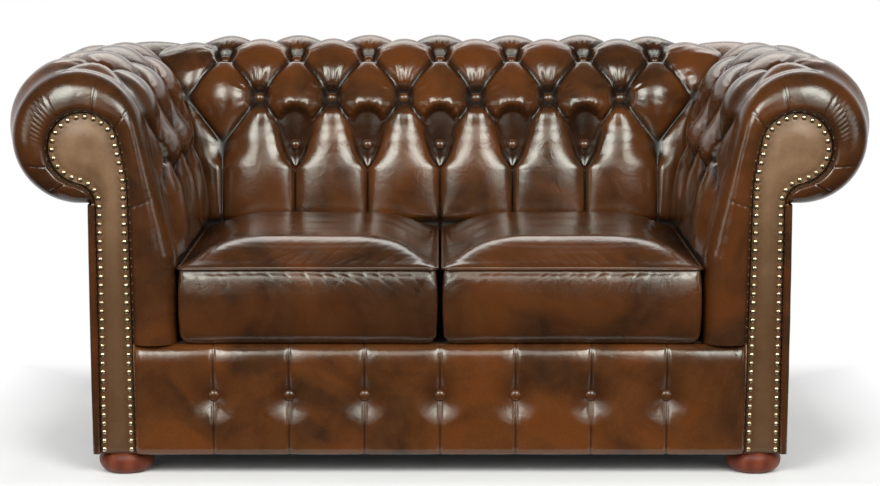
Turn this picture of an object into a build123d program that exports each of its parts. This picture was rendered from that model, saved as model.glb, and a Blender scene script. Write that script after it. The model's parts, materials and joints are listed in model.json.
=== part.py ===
from build123d import *
import math
import os

# Two-seat leather sofa with buttoned arms and back that end in one continuous roll.
# Millimetres. +X to the right as seen from the front, +Y to the rear, +Z up.

# Overall sizes
overall_width = 1580
overall_depth = 870
crest_height = 760
deck_height = 251
seat_opening = 982
foot_height = 43

# Arms and back: a padded face that leans out into a roll
roll_radius = 123
face_lean = 13
pad_depth = 30
foam_depth = 38
pad_tuck = 21
corner_radius = 70
body_inset = 17
soft_gap = 0.3

# Buttoned diamonds
tuft_rise = 18
button_sink = 11
dip_reach = 46
tuft_steps = 6
tuft_fade = 70
back_margin = 90
arm_margin = 50
tuft_end_angle = 205
back_pitch = 152
back_row_heights = (564, 660)
back_row_angles = (60, 107, 154)
arm_pitch = 187
arm_button_start = 220
arm_row_heights = (517, 600)
arm_row_angles = (33, 76, 119)
button_radius = 11
button_depth = 7
button_sides = 8

# Scroll fronts
lip_depth = 22
lip_round = 17
lip_bevel = 10
head_radius = 66
head_drop = 19
head_shift = 11
tail_outer = 30
tail_inner = 97
shoulder_inner = 90
shoulder_drop = 53
shoulder_round = 120
neck_round = 40
facing_depth = 14
facing_round = 3
nail_radius = 5.3
nail_depth = 3
nail_inset = 8
nail_pitch = 16.3
nail_sides = 6

# Front border
border_pitch = 141
border_buttons = 7
border_crown = 4
border_sink = 7
border_setback = 4
border_button_share = 0.53
border_steps = 6
border_dip = 40

# Hardwood frame and panels
sheet_thickness = 6
post_thickness = 22
rail_thickness = 28
rail_drop = 29
tack_rail_height = 60
board_thickness = 4
brace_thickness = 28
brace_height = 110
block_height = 60
dust_thickness = 1.5

# Suspension and deck
deck_cover_thickness = 3
deck_pad_thickness = 20
spring_cloth_thickness = 2
spring_wire = 4
spring_count = 7
spring_pitch = 132
spring_turns = 11
spring_swing = 40
clip_length = 12
clip_width = 24

# Seat cushions
cushion_gap = 3
cushion_clearance = 1.5
cushion_height = 146
cushion_crown = 40
cushion_setback = 5
cushion_draw = 5
cushion_edge = 9
cushion_wall = 10
cushion_stations = 12
piping_radius = 3
piping_corner = 14
piping_draw = 4
piping_gap = 0.8
zip_length = 360
zip_height = 14
zip_recess = 5
zip_tape_thickness = 1.5
slider_length = 14
slider_height = 9
slider_thickness = 2.5

# Feet
foot_radius = 52
foot_neck_radius = 45
foot_base_radius = 33
foot_inset_x = 196
foot_inset_front = 66
foot_inset_rear = 222
stud_radius = 5
stud_length = 62
stud_clearance = 0.2

# Worked out from the sizes above
front_y = -overall_depth / 2
pad_front = front_y + lip_depth
roll_x = overall_width / 2 - roll_radius
roll_y = overall_depth / 2 - roll_radius
roll_z = crest_height - roll_radius
seat_offset = roll_x - seat_opening / 2
back_face_y = roll_y - seat_offset
corner_x = roll_x - corner_radius
corner_y = roll_y - corner_radius
lean = math.radians(face_lean)
pad_bottom = deck_height - pad_tuck
rail_top = deck_height - rail_drop
body_inner = body_inset + sheet_thickness
post_back = pad_front + post_thickness
core_radius = roll_radius - pad_depth - foam_depth
top_rail_side = (core_radius - soft_gap) * math.sqrt(2)
panel_top = roll_z - roll_radius - soft_gap
rear_inner_y = roll_y - body_inner
post_x = corner_x + soft_gap
post_y = corner_y + soft_gap


def bend_height(radius, face):
    """Height where the upright part of the face turns into the leaning part."""
    return roll_z + radius * math.sin(lean) - (face - radius * math.cos(lean)) / math.tan(lean)


bend_z = bend_height(roll_radius, seat_offset)
upright_run = bend_z - pad_bottom
lean_run = (roll_z + roll_radius * math.sin(lean) - bend_z) / math.cos(lean)


def arm_plane(y):
    """Section plane of the right arm: local x runs inwards from the roll's centre line, local y is up."""
    return Plane(origin=(roll_x, y, 0), x_dir=(-1, 0, 0), z_dir=(0, 1, 0))


def back_plane(x):
    """Section plane of the back: local x runs forwards from the roll's centre line, local y is up."""
    return Plane(origin=(x, roll_y, 0), x_dir=(0, -1, 0), z_dir=(-1, 0, 0))


def section_face(inset, low, outer=body_inset):
    """Arm or back section, drawn in by inset, from the height low up round the roll to its tuck."""
    radius = roll_radius - inset
    face = seat_offset - inset
    tuck = math.sqrt(radius ** 2 - outer ** 2)
    on_roll = (radius * math.cos(lean), roll_z + radius * math.sin(lean))
    at_tuck = (outer, roll_z - tuck)
    upright = Polyline(at_tuck, (outer, low), (face, low), (face, bend_height(radius, face)), on_roll)
    far_side = (-radius, roll_z)
    over = ThreePointArc(on_roll, (0, roll_z + radius), far_side)
    diagonal = radius / math.sqrt(2)
    under = ThreePointArc(far_side, (-diagonal, roll_z - diagonal), at_tuck)
    return make_face([*upright.edges(), over, under])


def run_at_height(height):
    return upright_run + (height - bend_z) / math.cos(lean)


def run_at_angle(degrees):
    return upright_run + lean_run + roll_radius * (math.radians(degrees) - lean)


def profile_point(run):
    """Point and outward direction on the plain padded profile, by the distance along it from its foot."""
    if run <= upright_run:
        return (seat_offset, pad_bottom + run), (1, 0)
    if run <= upright_run + lean_run:
        rest = run - upright_run
        place = (seat_offset - rest * math.sin(lean), bend_z + rest * math.cos(lean))
        return place, (math.cos(lean), math.sin(lean))
    angle = lean + (run - upright_run - lean_run) / roll_radius
    out = (math.cos(angle), math.sin(angle))
    return (roll_radius * out[0], roll_z + roll_radius * out[1]), out


class Tufting:
    """A field of buttoned diamonds along one padded run of the sofa."""

    def __init__(self, heights, angles, pitch, first, start, end, margin):
        self.rows = [run_at_height(h) for h in heights] + [run_at_angle(a) for a in angles]
        self.pitch = pitch
        self.first = first
        self.start = start
        self.end = end
        self.margin = margin
        self.spots = self.buttons()

    def stations(self):
        step = self.pitch / tuft_steps
        low = math.ceil((self.start - self.first + step / 3) / step)
        high = math.floor((self.end - self.first - step / 3) / step)
        return [self.start] + [self.first + k * step for k in range(low, high + 1)] + [self.end]

    def row_place(self, run):
        """Row number of a place on the profile, 0 at the lowest row of buttons."""
        for k in range(len(self.rows) - 1):
            if run <= self.rows[k + 1]:
                return k + (run - self.rows[k]) / (self.rows[k + 1] - self.rows[k])
        return len(self.rows) - 1

    def height(self, along, run):
        column = (along - self.first) / self.pitch
        ends = min(along - self.start, self.end - along) / tuft_fade
        fade = max(0, min(1, ends))
        last = self.rows[-1]
        if run < self.rows[0]:
            flute = max(0, (run - upright_run) / (self.rows[0] - upright_run))
            pillow = abs(math.sin(math.pi * column)) * flute
        elif run > last:
            flute = max(0, (run_at_angle(tuft_end_angle) - run) / (run_at_angle(tuft_end_angle) - last))
            pillow = abs(math.sin(math.pi * column)) * flute
        else:
            row = self.row_place(run)
            first_pleat = math.sin(math.pi * (column + row / 2))
            second_pleat = math.sin(math.pi * (column - row / 2))
            pillow = math.sqrt(abs(first_pleat * second_pleat))
        away = min((math.hypot(along - a, run - r) for a, r in self.spots), default=dip_reach)
        dip = max(0, 1 - away / dip_reach)
        return fade * tuft_rise * pillow - button_sink * dip

    def buttons(self):
        """Places of the buttons, clear of the corner seam and of the open end."""
        spots = []
        for k, run in enumerate(self.rows):
            offset = profile_point(run)[0][0]
            reach = self.end - max(0, offset - corner_radius) - self.margin
            near = self.start + tuft_fade / 2 if self.first != 0 else -reach
            column = math.ceil((near - self.first) / self.pitch - k / 2)
            along = self.first + (column + k / 2) * self.pitch
            while along <= reach + 0.001:
                if along >= near - 0.001:
                    spots.append((along, run))
                along += self.pitch
        return spots

    def runs(self):
        """Places along the profile where each section has a corner."""
        tuck_run = run_at_angle(360 - math.degrees(math.acos(body_inset / roll_radius)))
        places = [0, upright_run, (upright_run + self.rows[0]) / 2]
        for low, high in zip(self.rows, self.rows[1:]):
            places += [low + (high - low) * k / 4 for k in range(4)]
        last = self.rows[-1]
        plain_steps = math.ceil((tuck_run - last) / roll_radius / math.radians(16))
        places += [last + (tuck_run - last) * k / plain_steps for k in range(plain_steps + 1)]
        return places

    def section(self, plane, along):
        """Closed outline of the padded skin at one station, closed off inside its own hollow."""
        points = []
        for run in self.runs():
            place, out = profile_point(run)
            lift = self.height(along, run)
            points.append((place[0] + lift * out[0], place[1] + lift * out[1]))
        points.append((body_inset + pad_depth / 6, roll_z - roll_radius + 1.4 * pad_depth))
        points.append((seat_offset - 1.4 * pad_depth, pad_bottom))
        return Wire.make_polygon([plane.from_local_coords((d, z)) for d, z in points])

    def skin(self, plane_at):
        sections = [self.section(plane_at(u), u) for u in self.stations()]
        return Part(Solid.make_loft(sections, ruled=True).wrapped)

    def button_planes(self, plane_at):
        """Planes at the bottom of each button's seat, facing out of the padding."""
        planes = []
        for along, run in self.spots:
            plane = plane_at(along)
            place, out = profile_point(run)
            sunk = (place[0] - button_sink * out[0], place[1] - button_sink * out[1])
            origin = plane.from_local_coords(sunk)
            facing = plane.from_local_coords((place[0] + out[0], place[1] + out[1]))
            side = plane.z_dir
            planes.append(Plane(origin=origin, x_dir=side, z_dir=facing - origin))
        return planes


arm_tufting = Tufting(
    arm_row_heights, arm_row_angles, arm_pitch, front_y + arm_button_start,
    pad_front, corner_y - soft_gap, arm_margin,
)
back_tufting = Tufting(back_row_heights, back_row_angles, back_pitch, 0, -corner_x, corner_x, back_margin)


def place_box(low, high):
    """Box between two corners."""
    size = [b - a for a, b in zip(low, high)]
    return Pos(*low) * Box(*size, align=(Align.MIN, Align.MIN, Align.MIN))


def to_left(shape):
    return shape.mirror(Plane.YZ)


def group(shapes):
    """Separate solids kept together as one piece."""
    return Compound([shape.solid() for shape in shapes])


def mitre_tool(for_arm):
    """What is cut away from the arm, or from the right end of the back, at the inner corner seam."""
    reach = seat_offset + pad_depth
    gap = soft_gap / 2
    shift = gap if for_arm else -gap
    tip = (corner_x + shift, corner_y - shift)
    low = (tip[0] - reach, tip[1] - reach)
    if for_arm:
        corners = [tip, low, (low[0], corner_y + lip_depth), (tip[0], corner_y + lip_depth)]
    else:
        corners = [tip, (corner_x + lip_depth, tip[1]), (corner_x + lip_depth, low[1]), low]
    plan = make_face(Polyline(*corners, close=True))
    return extrude(Pos(0, 0, pad_bottom - pad_depth) * plan, crest_height)


def seat_tools(planes):
    """Flat-bottomed seats for buttons."""
    shape = RegularPolygon(button_radius + soft_gap, button_sides)
    return [extrude(plane * shape, 3 * button_sink) for plane in planes]


def button_solids(planes):
    shape = RegularPolygon(button_radius, button_sides)
    return group(extrude(plane * shape, button_depth, taper=22) for plane in planes)


def facing_outline(grow=0):
    """Outline of the facing panel on the arm's section plane: a round head on a straight tail."""
    radius = head_radius + grow
    head_z = roll_z - head_drop
    tail = Polyline(
        (tail_outer - grow, foot_height - grow),
        (tail_inner + grow, foot_height - grow),
        (shoulder_inner + grow, head_z - shoulder_drop),
        (head_shift + radius * math.cos(lean), head_z + radius * math.sin(lean)),
        (tail_outer - grow, head_z),
        close=True,
    )
    body = make_face(tail)
    shoulder = body.vertices().sort_by_distance((shoulder_inner + grow, head_z - shoulder_drop, 0))[0]
    shape = fillet(shoulder, shoulder_round) + Pos(head_shift, head_z) * Circle(radius)
    neck = shape.vertices().filter_by_position(Axis.X, tail_outer - grow - 0.1, tail_outer - grow + 0.1)
    return fillet(neck.sort_by(Axis.Y)[-1], neck_round)


def arm_lip():
    """Rounded front edge of the arm pad, round the facing panel."""
    plane = arm_plane(pad_front)
    block = extrude(plane * section_face(0, deck_height), -lip_depth)
    front = block.faces().sort_by(Axis.Y)[0]
    outer_edge = roll_x - tail_outer
    rounded = [
        e for e in front.edges()
        if e.center().X < roll_x - tail_inner and e.length > 2 * lip_round and e.center().Z > deck_height + 1
        or e.geom_type == GeomType.CIRCLE
    ]
    block = fillet(rounded, lip_round)
    hole = extrude(plane * facing_outline(soft_gap), -2 * lip_depth)
    strip = place_box(
        (outer_edge, front_y - 1, deck_height - 1), (roll_x, pad_front + 1, panel_top + soft_gap)
    )
    slope = loft([
        arm_plane(front_y + lip_bevel) * facing_outline(soft_gap),
        arm_plane(front_y - 1) * facing_outline(soft_gap + lip_bevel + 1),
    ], ruled=True)
    return block - hole - strip - slope


def arm_cover():
    hollow = arm_plane(pad_front - soft_gap) * section_face(pad_depth, pad_bottom - pad_tuck)
    core = extrude(hollow, overall_depth)
    skin = arm_tufting.skin(arm_plane)
    skin = skin.cut(core, mitre_tool(True), *seat_tools(arm_tufting.button_planes(arm_plane)))
    return skin + arm_lip()


def rear_elbow():
    """Rounded rear corner of the roll."""
    band = section_face(0, pad_bottom) - section_face(pad_depth, pad_bottom - pad_tuck)
    keep = Pos(corner_radius - 2 * roll_radius, roll_z) * Rectangle(4 * roll_radius, 4 * roll_radius)
    band = band & keep
    axis = Axis((corner_x, corner_y, 0), (0, 0, -1))
    return revolve(back_plane(corner_x) * band, axis, 90)


def back_cover():
    core = extrude(
        back_plane(0) * section_face(pad_depth, pad_bottom - pad_tuck), overall_width, both=True
    )
    mitre = mitre_tool(False)
    seats = seat_tools(back_tufting.button_planes(back_plane))
    skin = back_tufting.skin(back_plane).cut(core, mitre, to_left(mitre), *seats)
    elbow = rear_elbow()
    return skin + elbow + to_left(elbow)


def foam_section():
    low = pad_bottom - pad_tuck
    ring = section_face(pad_depth + soft_gap, pad_bottom) - section_face(pad_depth + foam_depth, low)
    return ring


def arm_foam():
    return extrude(arm_plane(post_back) * foam_section(), corner_y - soft_gap - post_back) - mitre_tool(True)


def back_foam():
    mitre = mitre_tool(False)
    return extrude(back_plane(0) * foam_section(), corner_x, both=True) - mitre - to_left(mitre)


def board_section():
    """Lining board behind the foam, below the roll."""
    front = pad_depth + foam_depth
    ring = section_face(front, pad_bottom) - section_face(front + board_thickness, pad_bottom - pad_tuck)
    height = roll_z - core_radius - pad_bottom
    window = Pos(body_inner + seat_offset, pad_bottom + height / 2) * Rectangle(2 * seat_offset, height)
    return ring & window


def arm_board():
    return extrude(arm_plane(post_back) * board_section(), corner_y - soft_gap - post_back) - mitre_tool(True)


def back_board():
    mitre = mitre_tool(False)
    return extrude(back_plane(0) * board_section(), corner_x, both=True) - mitre - to_left(mitre)


def facing_panel():
    panel = extrude(arm_plane(pad_front) * facing_outline(), -facing_depth)
    return fillet(panel.faces().sort_by(Axis.Y)[0].edges(), facing_round)


def facing_nails():
    """Dome-headed nails along the facing panel's edge, from one foot of it over the head to the other."""
    inner = offset(facing_outline(), -nail_inset, kind=Kind.INTERSECTION)
    edges = [e for e in inner.edges() if e.center().Y > foot_height + 2 * nail_inset]
    path = Wire(edges)
    count = round(path.length / nail_pitch)
    head = RegularPolygon(nail_radius, nail_sides)
    plane = arm_plane(pad_front - facing_depth)
    nails = []
    for k in range(count + 1):
        spot = path.position_at(k / count)
        nails.append(extrude(plane * Pos(spot.X, spot.Y) * head, -nail_depth, taper=32))
    return group(nails)


def front_post():
    outline = section_face(pad_depth + soft_gap, foot_height, body_inner)
    return extrude(arm_plane(pad_front) * outline, post_thickness)


def outside_arm():
    """Outside arm panel with the leather strip that shows beside the facing panel."""
    sheet = place_box(
        (roll_x - body_inner, pad_front, foot_height), (roll_x - body_inset, rear_inner_y, panel_top)
    )
    strip = place_box(
        (roll_x - tail_outer + soft_gap, front_y + lip_depth / 3, foot_height),
        (roll_x - body_inset, pad_front, panel_top),
    )
    corner = strip.edges().filter_by(Axis.Z).sort_by(lambda e: e.center().X - e.center().Y)[-1]
    facing = extrude(arm_plane(pad_front) * facing_outline(soft_gap), -lip_depth)
    return sheet + fillet(corner, lip_depth / 3) - facing


def outside_back():
    reach = roll_x - body_inset
    wall = place_box((-reach, rear_inner_y, foot_height), (reach, roll_y - body_inset, panel_top))
    rear = wall.edges().filter_by(Axis.Z).group_by(Axis.Y)[-1]
    return fillet(rear, sheet_thickness * 0.8)


def border_rounding(share):
    """Fullness of the front border at a share of its height, less at its two edges."""
    return min(1, 0.62 + 3.2 * min(share, 1 - share))


def border_height(x, share):
    """How far the front border stands out from the rail."""
    column = x / border_pitch + (border_buttons - 1) / 2
    on_buttons = -0.5 < column < border_buttons - 0.5
    pleat = abs(math.sin(math.pi * column)) if on_buttons else 1
    tall = deck_height - soft_gap - foot_height
    nearest = max(0, min(border_buttons - 1, round(column)))
    away = math.hypot((column - nearest) * border_pitch, (share - border_button_share) * tall)
    dip = max(0, 1 - away / border_dip)
    plain = lip_depth - border_setback - border_crown
    return plain * border_rounding(share) + border_crown * pleat - border_sink * dip


def border_planes():
    """Planes at the bottom of each border button's seat."""
    level = foot_height + border_button_share * (deck_height - soft_gap - foot_height)
    depth = border_height(border_pitch * (border_buttons % 2 - 1) / 2, border_button_share)
    first = -border_pitch * (border_buttons - 1) / 2
    spots = [first + border_pitch * k for k in range(border_buttons)]
    return [Plane(origin=(x, pad_front - depth, level), x_dir=(1, 0, 0), z_dir=(0, -1, 0)) for x in spots]


def front_border():
    """Pleated leather border on the front rail, between the facing panels."""
    reach = roll_x - (tail_outer + tail_inner) / 2
    step = border_pitch / border_steps
    count = math.floor(reach / step - 1 / 3)
    stations = [-reach] + [k * step for k in range(-count, count + 1)] + [reach]
    shares = (0, 0.06, 0.14, 0.32, 0.5, 0.68, 0.86, 0.94, 1)
    tall = deck_height - soft_gap - foot_height
    wires = []
    for x in stations:
        points = [(x, pad_front - border_height(x, s), foot_height + s * tall) for s in shares]
        points.append((x, pad_front, deck_height - soft_gap))
        points.append((x, pad_front, foot_height))
        wires.append(Wire.make_polygon(points))
    skin = Part(Solid.make_loft(wires, ruled=True).wrapped)
    cut = extrude(arm_plane(pad_front + 1) * facing_outline(soft_gap), -2 * lip_depth)
    return skin.cut(cut, to_left(cut), *seat_tools(border_planes()))


def front_rail_reach():
    return roll_x - seat_offset + pad_depth + soft_gap


def front_rail():
    reach = front_rail_reach()
    return place_box((-reach, pad_front, foot_height), (reach, pad_front + rail_thickness, rail_top))


def side_rail():
    outer = roll_x - body_inner
    return place_box((outer - rail_thickness, post_back, foot_height), (outer, post_y, rail_top))


def rear_rail():
    return place_box((-post_x, rear_inner_y - rail_thickness, foot_height), (post_x, rear_inner_y, rail_top))


def centre_brace():
    middle = (foot_height + rail_top) / 2
    return place_box(
        (-brace_thickness / 2, pad_front + rail_thickness, middle - brace_height / 2),
        (brace_thickness / 2, rear_inner_y - rail_thickness, middle + brace_height / 2),
    )


def rear_post():
    """Rear post, rounded at its outer corner to stay inside the roll's tuck."""
    top = roll_z - top_rail_side / 2
    post = place_box((post_x, post_y, foot_height), (roll_x - body_inner, rear_inner_y, top))
    corner = post.edges().filter_by(Axis.Z).sort_by(lambda e: e.center().X + e.center().Y)[-1]
    diagonal = math.hypot(roll_x - body_inner - corner_x, rear_inner_y - corner_y)
    tuck_reach = corner_radius - body_inset - soft_gap
    return fillet(corner, (diagonal - tuck_reach) / (math.sqrt(2) - 1))


def arm_top_rail():
    half = top_rail_side / 2
    return place_box((roll_x - half, post_back, roll_z - half), (roll_x + half, roll_y + half, roll_z + half))


def back_top_rail():
    half = top_rail_side / 2
    return place_box(
        (half - roll_x, roll_y - half, roll_z - half), (roll_x - half, roll_y + half, roll_z + half)
    )


def tack_front():
    """Distance of the tack rails' front faces from the roll's centre line."""
    return seat_offset - pad_depth - foam_depth - board_thickness - soft_gap


def arm_tack_rail():
    return place_box(
        (roll_x - tack_front(), post_back, pad_bottom),
        (post_x, roll_y - tack_front(), pad_bottom + tack_rail_height),
    )


def back_tack_rail():
    reach = roll_x - body_inner
    return place_box(
        (-reach, roll_y - tack_front(), pad_bottom), (reach, post_y, pad_bottom + tack_rail_height)
    )


def foot_spots():
    x = overall_width / 2 - foot_inset_x
    front = front_y + foot_inset_front
    rear = overall_depth / 2 - foot_inset_rear
    return {
        "front_right": (x, front),
        "front_left": (-x, front),
        "rear_right": (x, rear),
        "rear_left": (-x, rear),
    }


def bun_foot(spot):
    """Low turned foot with a hole for its stud."""
    waist = foot_height * 0.93
    belly = foot_height * 0.58
    profile = make_face([
        Line((0, 0), (foot_base_radius, 0)),
        ThreePointArc((foot_base_radius, 0), (foot_radius, belly), (foot_neck_radius, waist)),
        Line((foot_neck_radius, waist), (foot_neck_radius, foot_height)),
        Line((foot_neck_radius, foot_height), (0, foot_height)),
        Line((0, foot_height), (0, 0)),
    ])
    turned = revolve(Plane.XZ * profile, Axis.Z)
    hole = Pos(0, 0, foot_height - stud_length / 2) * stud_hole(stud_length)
    return Pos(*spot) * (turned - hole)


def stud_hole(length):
    return Cylinder(stud_radius + stud_clearance, length, align=(Align.CENTER, Align.CENTER, Align.MIN))


def foot_studs():
    low = foot_height - stud_length / 2
    stud = Cylinder(stud_radius, stud_length, align=(Align.CENTER, Align.CENTER, Align.MIN))
    return group(Pos(x, y, low) * stud for x, y in foot_spots().values())


def corner_blocks():
    """Glued blocks in the corners of the seat frame that take the feet's studs."""
    side = roll_x - body_inner - rail_thickness
    inner = front_rail_reach()
    leg = side - inner
    front = make_face(Polyline((side, post_back), (side, post_back + leg), (inner, post_back), close=True))
    rear = make_face(Polyline((side, post_y), (side, post_y - leg), (inner, post_y), close=True))
    spots = foot_spots()
    blocks = []
    for shape, name in ((front, "front_right"), (rear, "rear_right")):
        hole = Pos(*spots[name], foot_height) * stud_hole(stud_length / 2 + soft_gap)
        block = extrude(Pos(0, 0, foot_height) * shape, block_height) - hole
        blocks += [block, to_left(block)]
    return group(blocks)


def dust_cover():
    x = roll_x - body_inner
    sheet = place_box((-x, pad_front, foot_height - dust_thickness), (x, rear_inner_y, foot_height))
    hole = Cylinder(foot_neck_radius + soft_gap, 4 * dust_thickness)
    for spot in foot_spots().values():
        sheet = sheet - Pos(*spot, foot_height) * hole
    return sheet


def deck_layer(top, thickness):
    reach = seat_opening / 2 - soft_gap
    return place_box((-reach, pad_front, top - thickness), (reach, back_face_y - soft_gap, top))


def seat_springs():
    """Zig-zag springs that run from the front rail to the rear rail, with a clip at each end."""
    front = pad_front + rail_thickness / 2
    rear = rear_inner_y - rail_thickness / 2
    step = (rear - front) / spring_turns
    springs = []
    clips = []
    for k in range(spring_count):
        x = (k - (spring_count - 1) / 2) * spring_pitch
        points = [(x, front)]
        for turn in range(spring_turns):
            side = x + spring_swing / 2 * (-1) ** turn
            points.append((side, front + (turn + 0.25) * step))
            points.append((side, front + (turn + 0.75) * step))
        points.append((x, rear))
        wire = trace(Polyline(*points), spring_wire)
        springs.append(extrude(Pos(0, 0, rail_top) * wire, spring_wire))
        for y in (front - clip_length, rear + spring_wire / 2):
            low = (x - clip_width / 2, y - spring_wire / 2 * (y < 0), rail_top)
            clips.append(place_box(low, (low[0] + clip_width, low[1] + clip_length, rail_top + spring_wire)))
    return group(springs), group(clips)


def cushion_outline(share, shrink):
    """Side inset, bottom height, seam height and crown of the right cushion at a share of its depth."""
    bow = math.sin(math.pi * share)
    edge = max(0, 1 - min(share, 1 - share) * cushion_stations / 1.2)
    side = cushion_draw * bow + cushion_edge * edge ** 2 + shrink
    low = deck_height + cushion_edge * edge ** 2 + shrink
    seam = deck_height + cushion_height - cushion_edge * edge ** 2 - shrink
    return side, low, seam, cushion_crown * (0.25 + 0.75 * bow)


def piping_room():
    """Width that the welt cord takes outside the cushion's walls."""
    return 2 * piping_radius + piping_gap


def cushion_rear():
    return back_face_y - cushion_clearance - piping_room()


def cushion_form(shrink):
    """Crowned cushion with its sides drawn in between the corners."""
    rim = piping_room()
    inner = cushion_gap / 2 + rim
    outer = seat_opening / 2 - cushion_clearance - rim
    front = front_y + cushion_setback + rim + shrink
    rear = cushion_rear() - shrink
    middle = (inner + outer) / 2
    wires = []
    for k in range(cushion_stations + 1):
        share = (1 - math.cos(math.pi * k / cushion_stations)) / 2
        side, low, seam, crown = cushion_outline(share, shrink)
        y = front + (rear - front) * share
        left, right = inner + side, outer - side
        box = Polyline((left, y, seam), (left, y, low), (right, y, low), (right, y, seam))
        top = ThreePointArc((right, y, seam), (middle, y, seam + crown), (left, y, seam))
        wires.append(Wire([*box.edges(), top]))
    return Part(Solid.make_loft(wires, ruled=True).wrapped)


def zip_pocket(grow, depth):
    """Strip on the cushion's rear border."""
    middle_x = (cushion_gap / 2 + seat_opening / 2 - cushion_clearance) / 2
    middle_z = deck_height + cushion_height / 2
    rear = cushion_rear()
    half = zip_length / 2 + grow
    tall = zip_height / 2 + grow
    low = (middle_x - half, rear - zip_recess, middle_z - tall)
    high = (middle_x + half, rear - zip_recess + depth, middle_z + tall)
    return low, high


def cushion_cover():
    pocket = place_box(*zip_pocket(soft_gap, 2 * zip_recess))
    return cushion_form(0) - cushion_form(cushion_wall) - pocket


def cushion_core():
    return cushion_form(cushion_wall + soft_gap)


def cushion_piping():
    """Welt cord round the cushion's top seam."""
    rim = piping_radius
    inner = cushion_gap / 2 + rim
    outer = seat_opening / 2 - cushion_clearance - rim
    front = front_y + cushion_setback + rim
    rear = back_face_y - cushion_clearance - rim
    middle = (front + rear) / 2
    plan = make_face([
        Line((inner, front), (outer, front)),
        ThreePointArc((outer, front), (outer - piping_draw, middle), (outer, rear)),
        Line((outer, rear), (inner, rear)),
        ThreePointArc((inner, rear), (inner + piping_draw, middle), (inner, front)),
    ])
    path = fillet(plan.vertices(), piping_corner).wire()
    path = Pos(0, 0, deck_height + cushion_height - piping_radius) * path
    start = path @ 0
    ring = Plane(origin=start, z_dir=path % 0) * Circle(piping_radius)
    return sweep(ring, path)


def zip_tape():
    low, high = zip_pocket(0, zip_tape_thickness)
    return place_box(low, high)


def zip_slider():
    low, high = zip_pocket(0, zip_tape_thickness)
    middle = (low[2] + high[2]) / 2
    return place_box(
        (low[0], high[1] + soft_gap / 3, middle - slider_height / 2),
        (low[0] + slider_length, high[1] + soft_gap / 3 + slider_thickness, middle + slider_height / 2),
    )


def save(name, shape):
    export_step(shape, f"parts/{name}.step")


def save_pair(name, shape):
    """A piece of the right side and its mirror image on the left."""
    save(f"right_{name}", shape)
    save(f"left_{name}", to_left(shape))


os.makedirs("parts", exist_ok=True)
springs, clips = seat_springs()
save("back_cover", back_cover())
save("back_foam", back_foam())
save("back_lining_board", back_board())
save("back_buttons", button_solids(back_tufting.button_planes(back_plane)))
save("outside_back_panel", outside_back())
save("front_border", front_border())
save("border_buttons", button_solids(border_planes()))
save("front_rail", front_rail())
save("rear_rail", rear_rail())
save("centre_brace", centre_brace())
save("back_top_rail", back_top_rail())
save("back_tack_rail", back_tack_rail())
save("corner_blocks", corner_blocks())
save("seat_springs", springs)
save("spring_clips", clips)
save("deck_cover", deck_layer(deck_height, deck_cover_thickness))
save("deck_pad", deck_layer(deck_height - deck_cover_thickness, deck_pad_thickness))
save("spring_cloth", deck_layer(rail_top + spring_wire + spring_cloth_thickness, spring_cloth_thickness))
save("dust_cover", dust_cover())
save("foot_studs", foot_studs())
for foot_name, foot_spot in foot_spots().items():
    save(f"{foot_name}_foot", bun_foot(foot_spot))
save_pair("arm_cover", arm_cover())
save_pair("arm_foam", arm_foam())
save_pair("arm_lining_board", arm_board())
save_pair("arm_buttons", button_solids(arm_tufting.button_planes(arm_plane)))
save_pair("facing_panel", facing_panel())
save_pair("facing_nails", facing_nails())
save_pair("outside_arm_panel", outside_arm())
save_pair("front_post", front_post())
save_pair("rear_post", rear_post())
save_pair("side_rail", side_rail())
save_pair("arm_top_rail", arm_top_rail())
save_pair("arm_tack_rail", arm_tack_rail())
save_pair("cushion_cover", cushion_cover())
save_pair("cushion_core", cushion_core())
save_pair("cushion_piping", cushion_piping())
save_pair("zip_tape", zip_tape())
save_pair("zip_slider", zip_slider())
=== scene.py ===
import json
import math

import bmesh
import bpy
import numpy as np
from mathutils import Matrix, Vector


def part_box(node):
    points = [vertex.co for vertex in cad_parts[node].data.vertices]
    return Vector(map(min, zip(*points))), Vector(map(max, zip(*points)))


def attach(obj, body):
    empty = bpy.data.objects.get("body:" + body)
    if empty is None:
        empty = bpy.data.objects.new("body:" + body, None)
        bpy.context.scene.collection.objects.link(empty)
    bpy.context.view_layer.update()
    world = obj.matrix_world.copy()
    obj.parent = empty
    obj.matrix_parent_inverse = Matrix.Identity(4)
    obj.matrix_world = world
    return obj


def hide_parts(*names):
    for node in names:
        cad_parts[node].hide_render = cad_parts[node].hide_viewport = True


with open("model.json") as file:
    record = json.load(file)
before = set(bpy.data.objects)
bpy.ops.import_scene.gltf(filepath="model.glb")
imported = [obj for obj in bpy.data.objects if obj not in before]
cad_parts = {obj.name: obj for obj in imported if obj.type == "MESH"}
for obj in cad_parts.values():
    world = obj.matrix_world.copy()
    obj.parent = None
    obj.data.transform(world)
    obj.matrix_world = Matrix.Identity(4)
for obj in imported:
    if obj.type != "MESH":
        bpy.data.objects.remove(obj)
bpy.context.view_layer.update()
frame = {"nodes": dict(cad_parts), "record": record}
scene = bpy.context.scene
scene.view_settings.view_transform = "Standard"


# Sizes of the sofa, read from the frame

def middle(node):
    low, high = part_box(node)
    return (low + high) / 2


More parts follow.
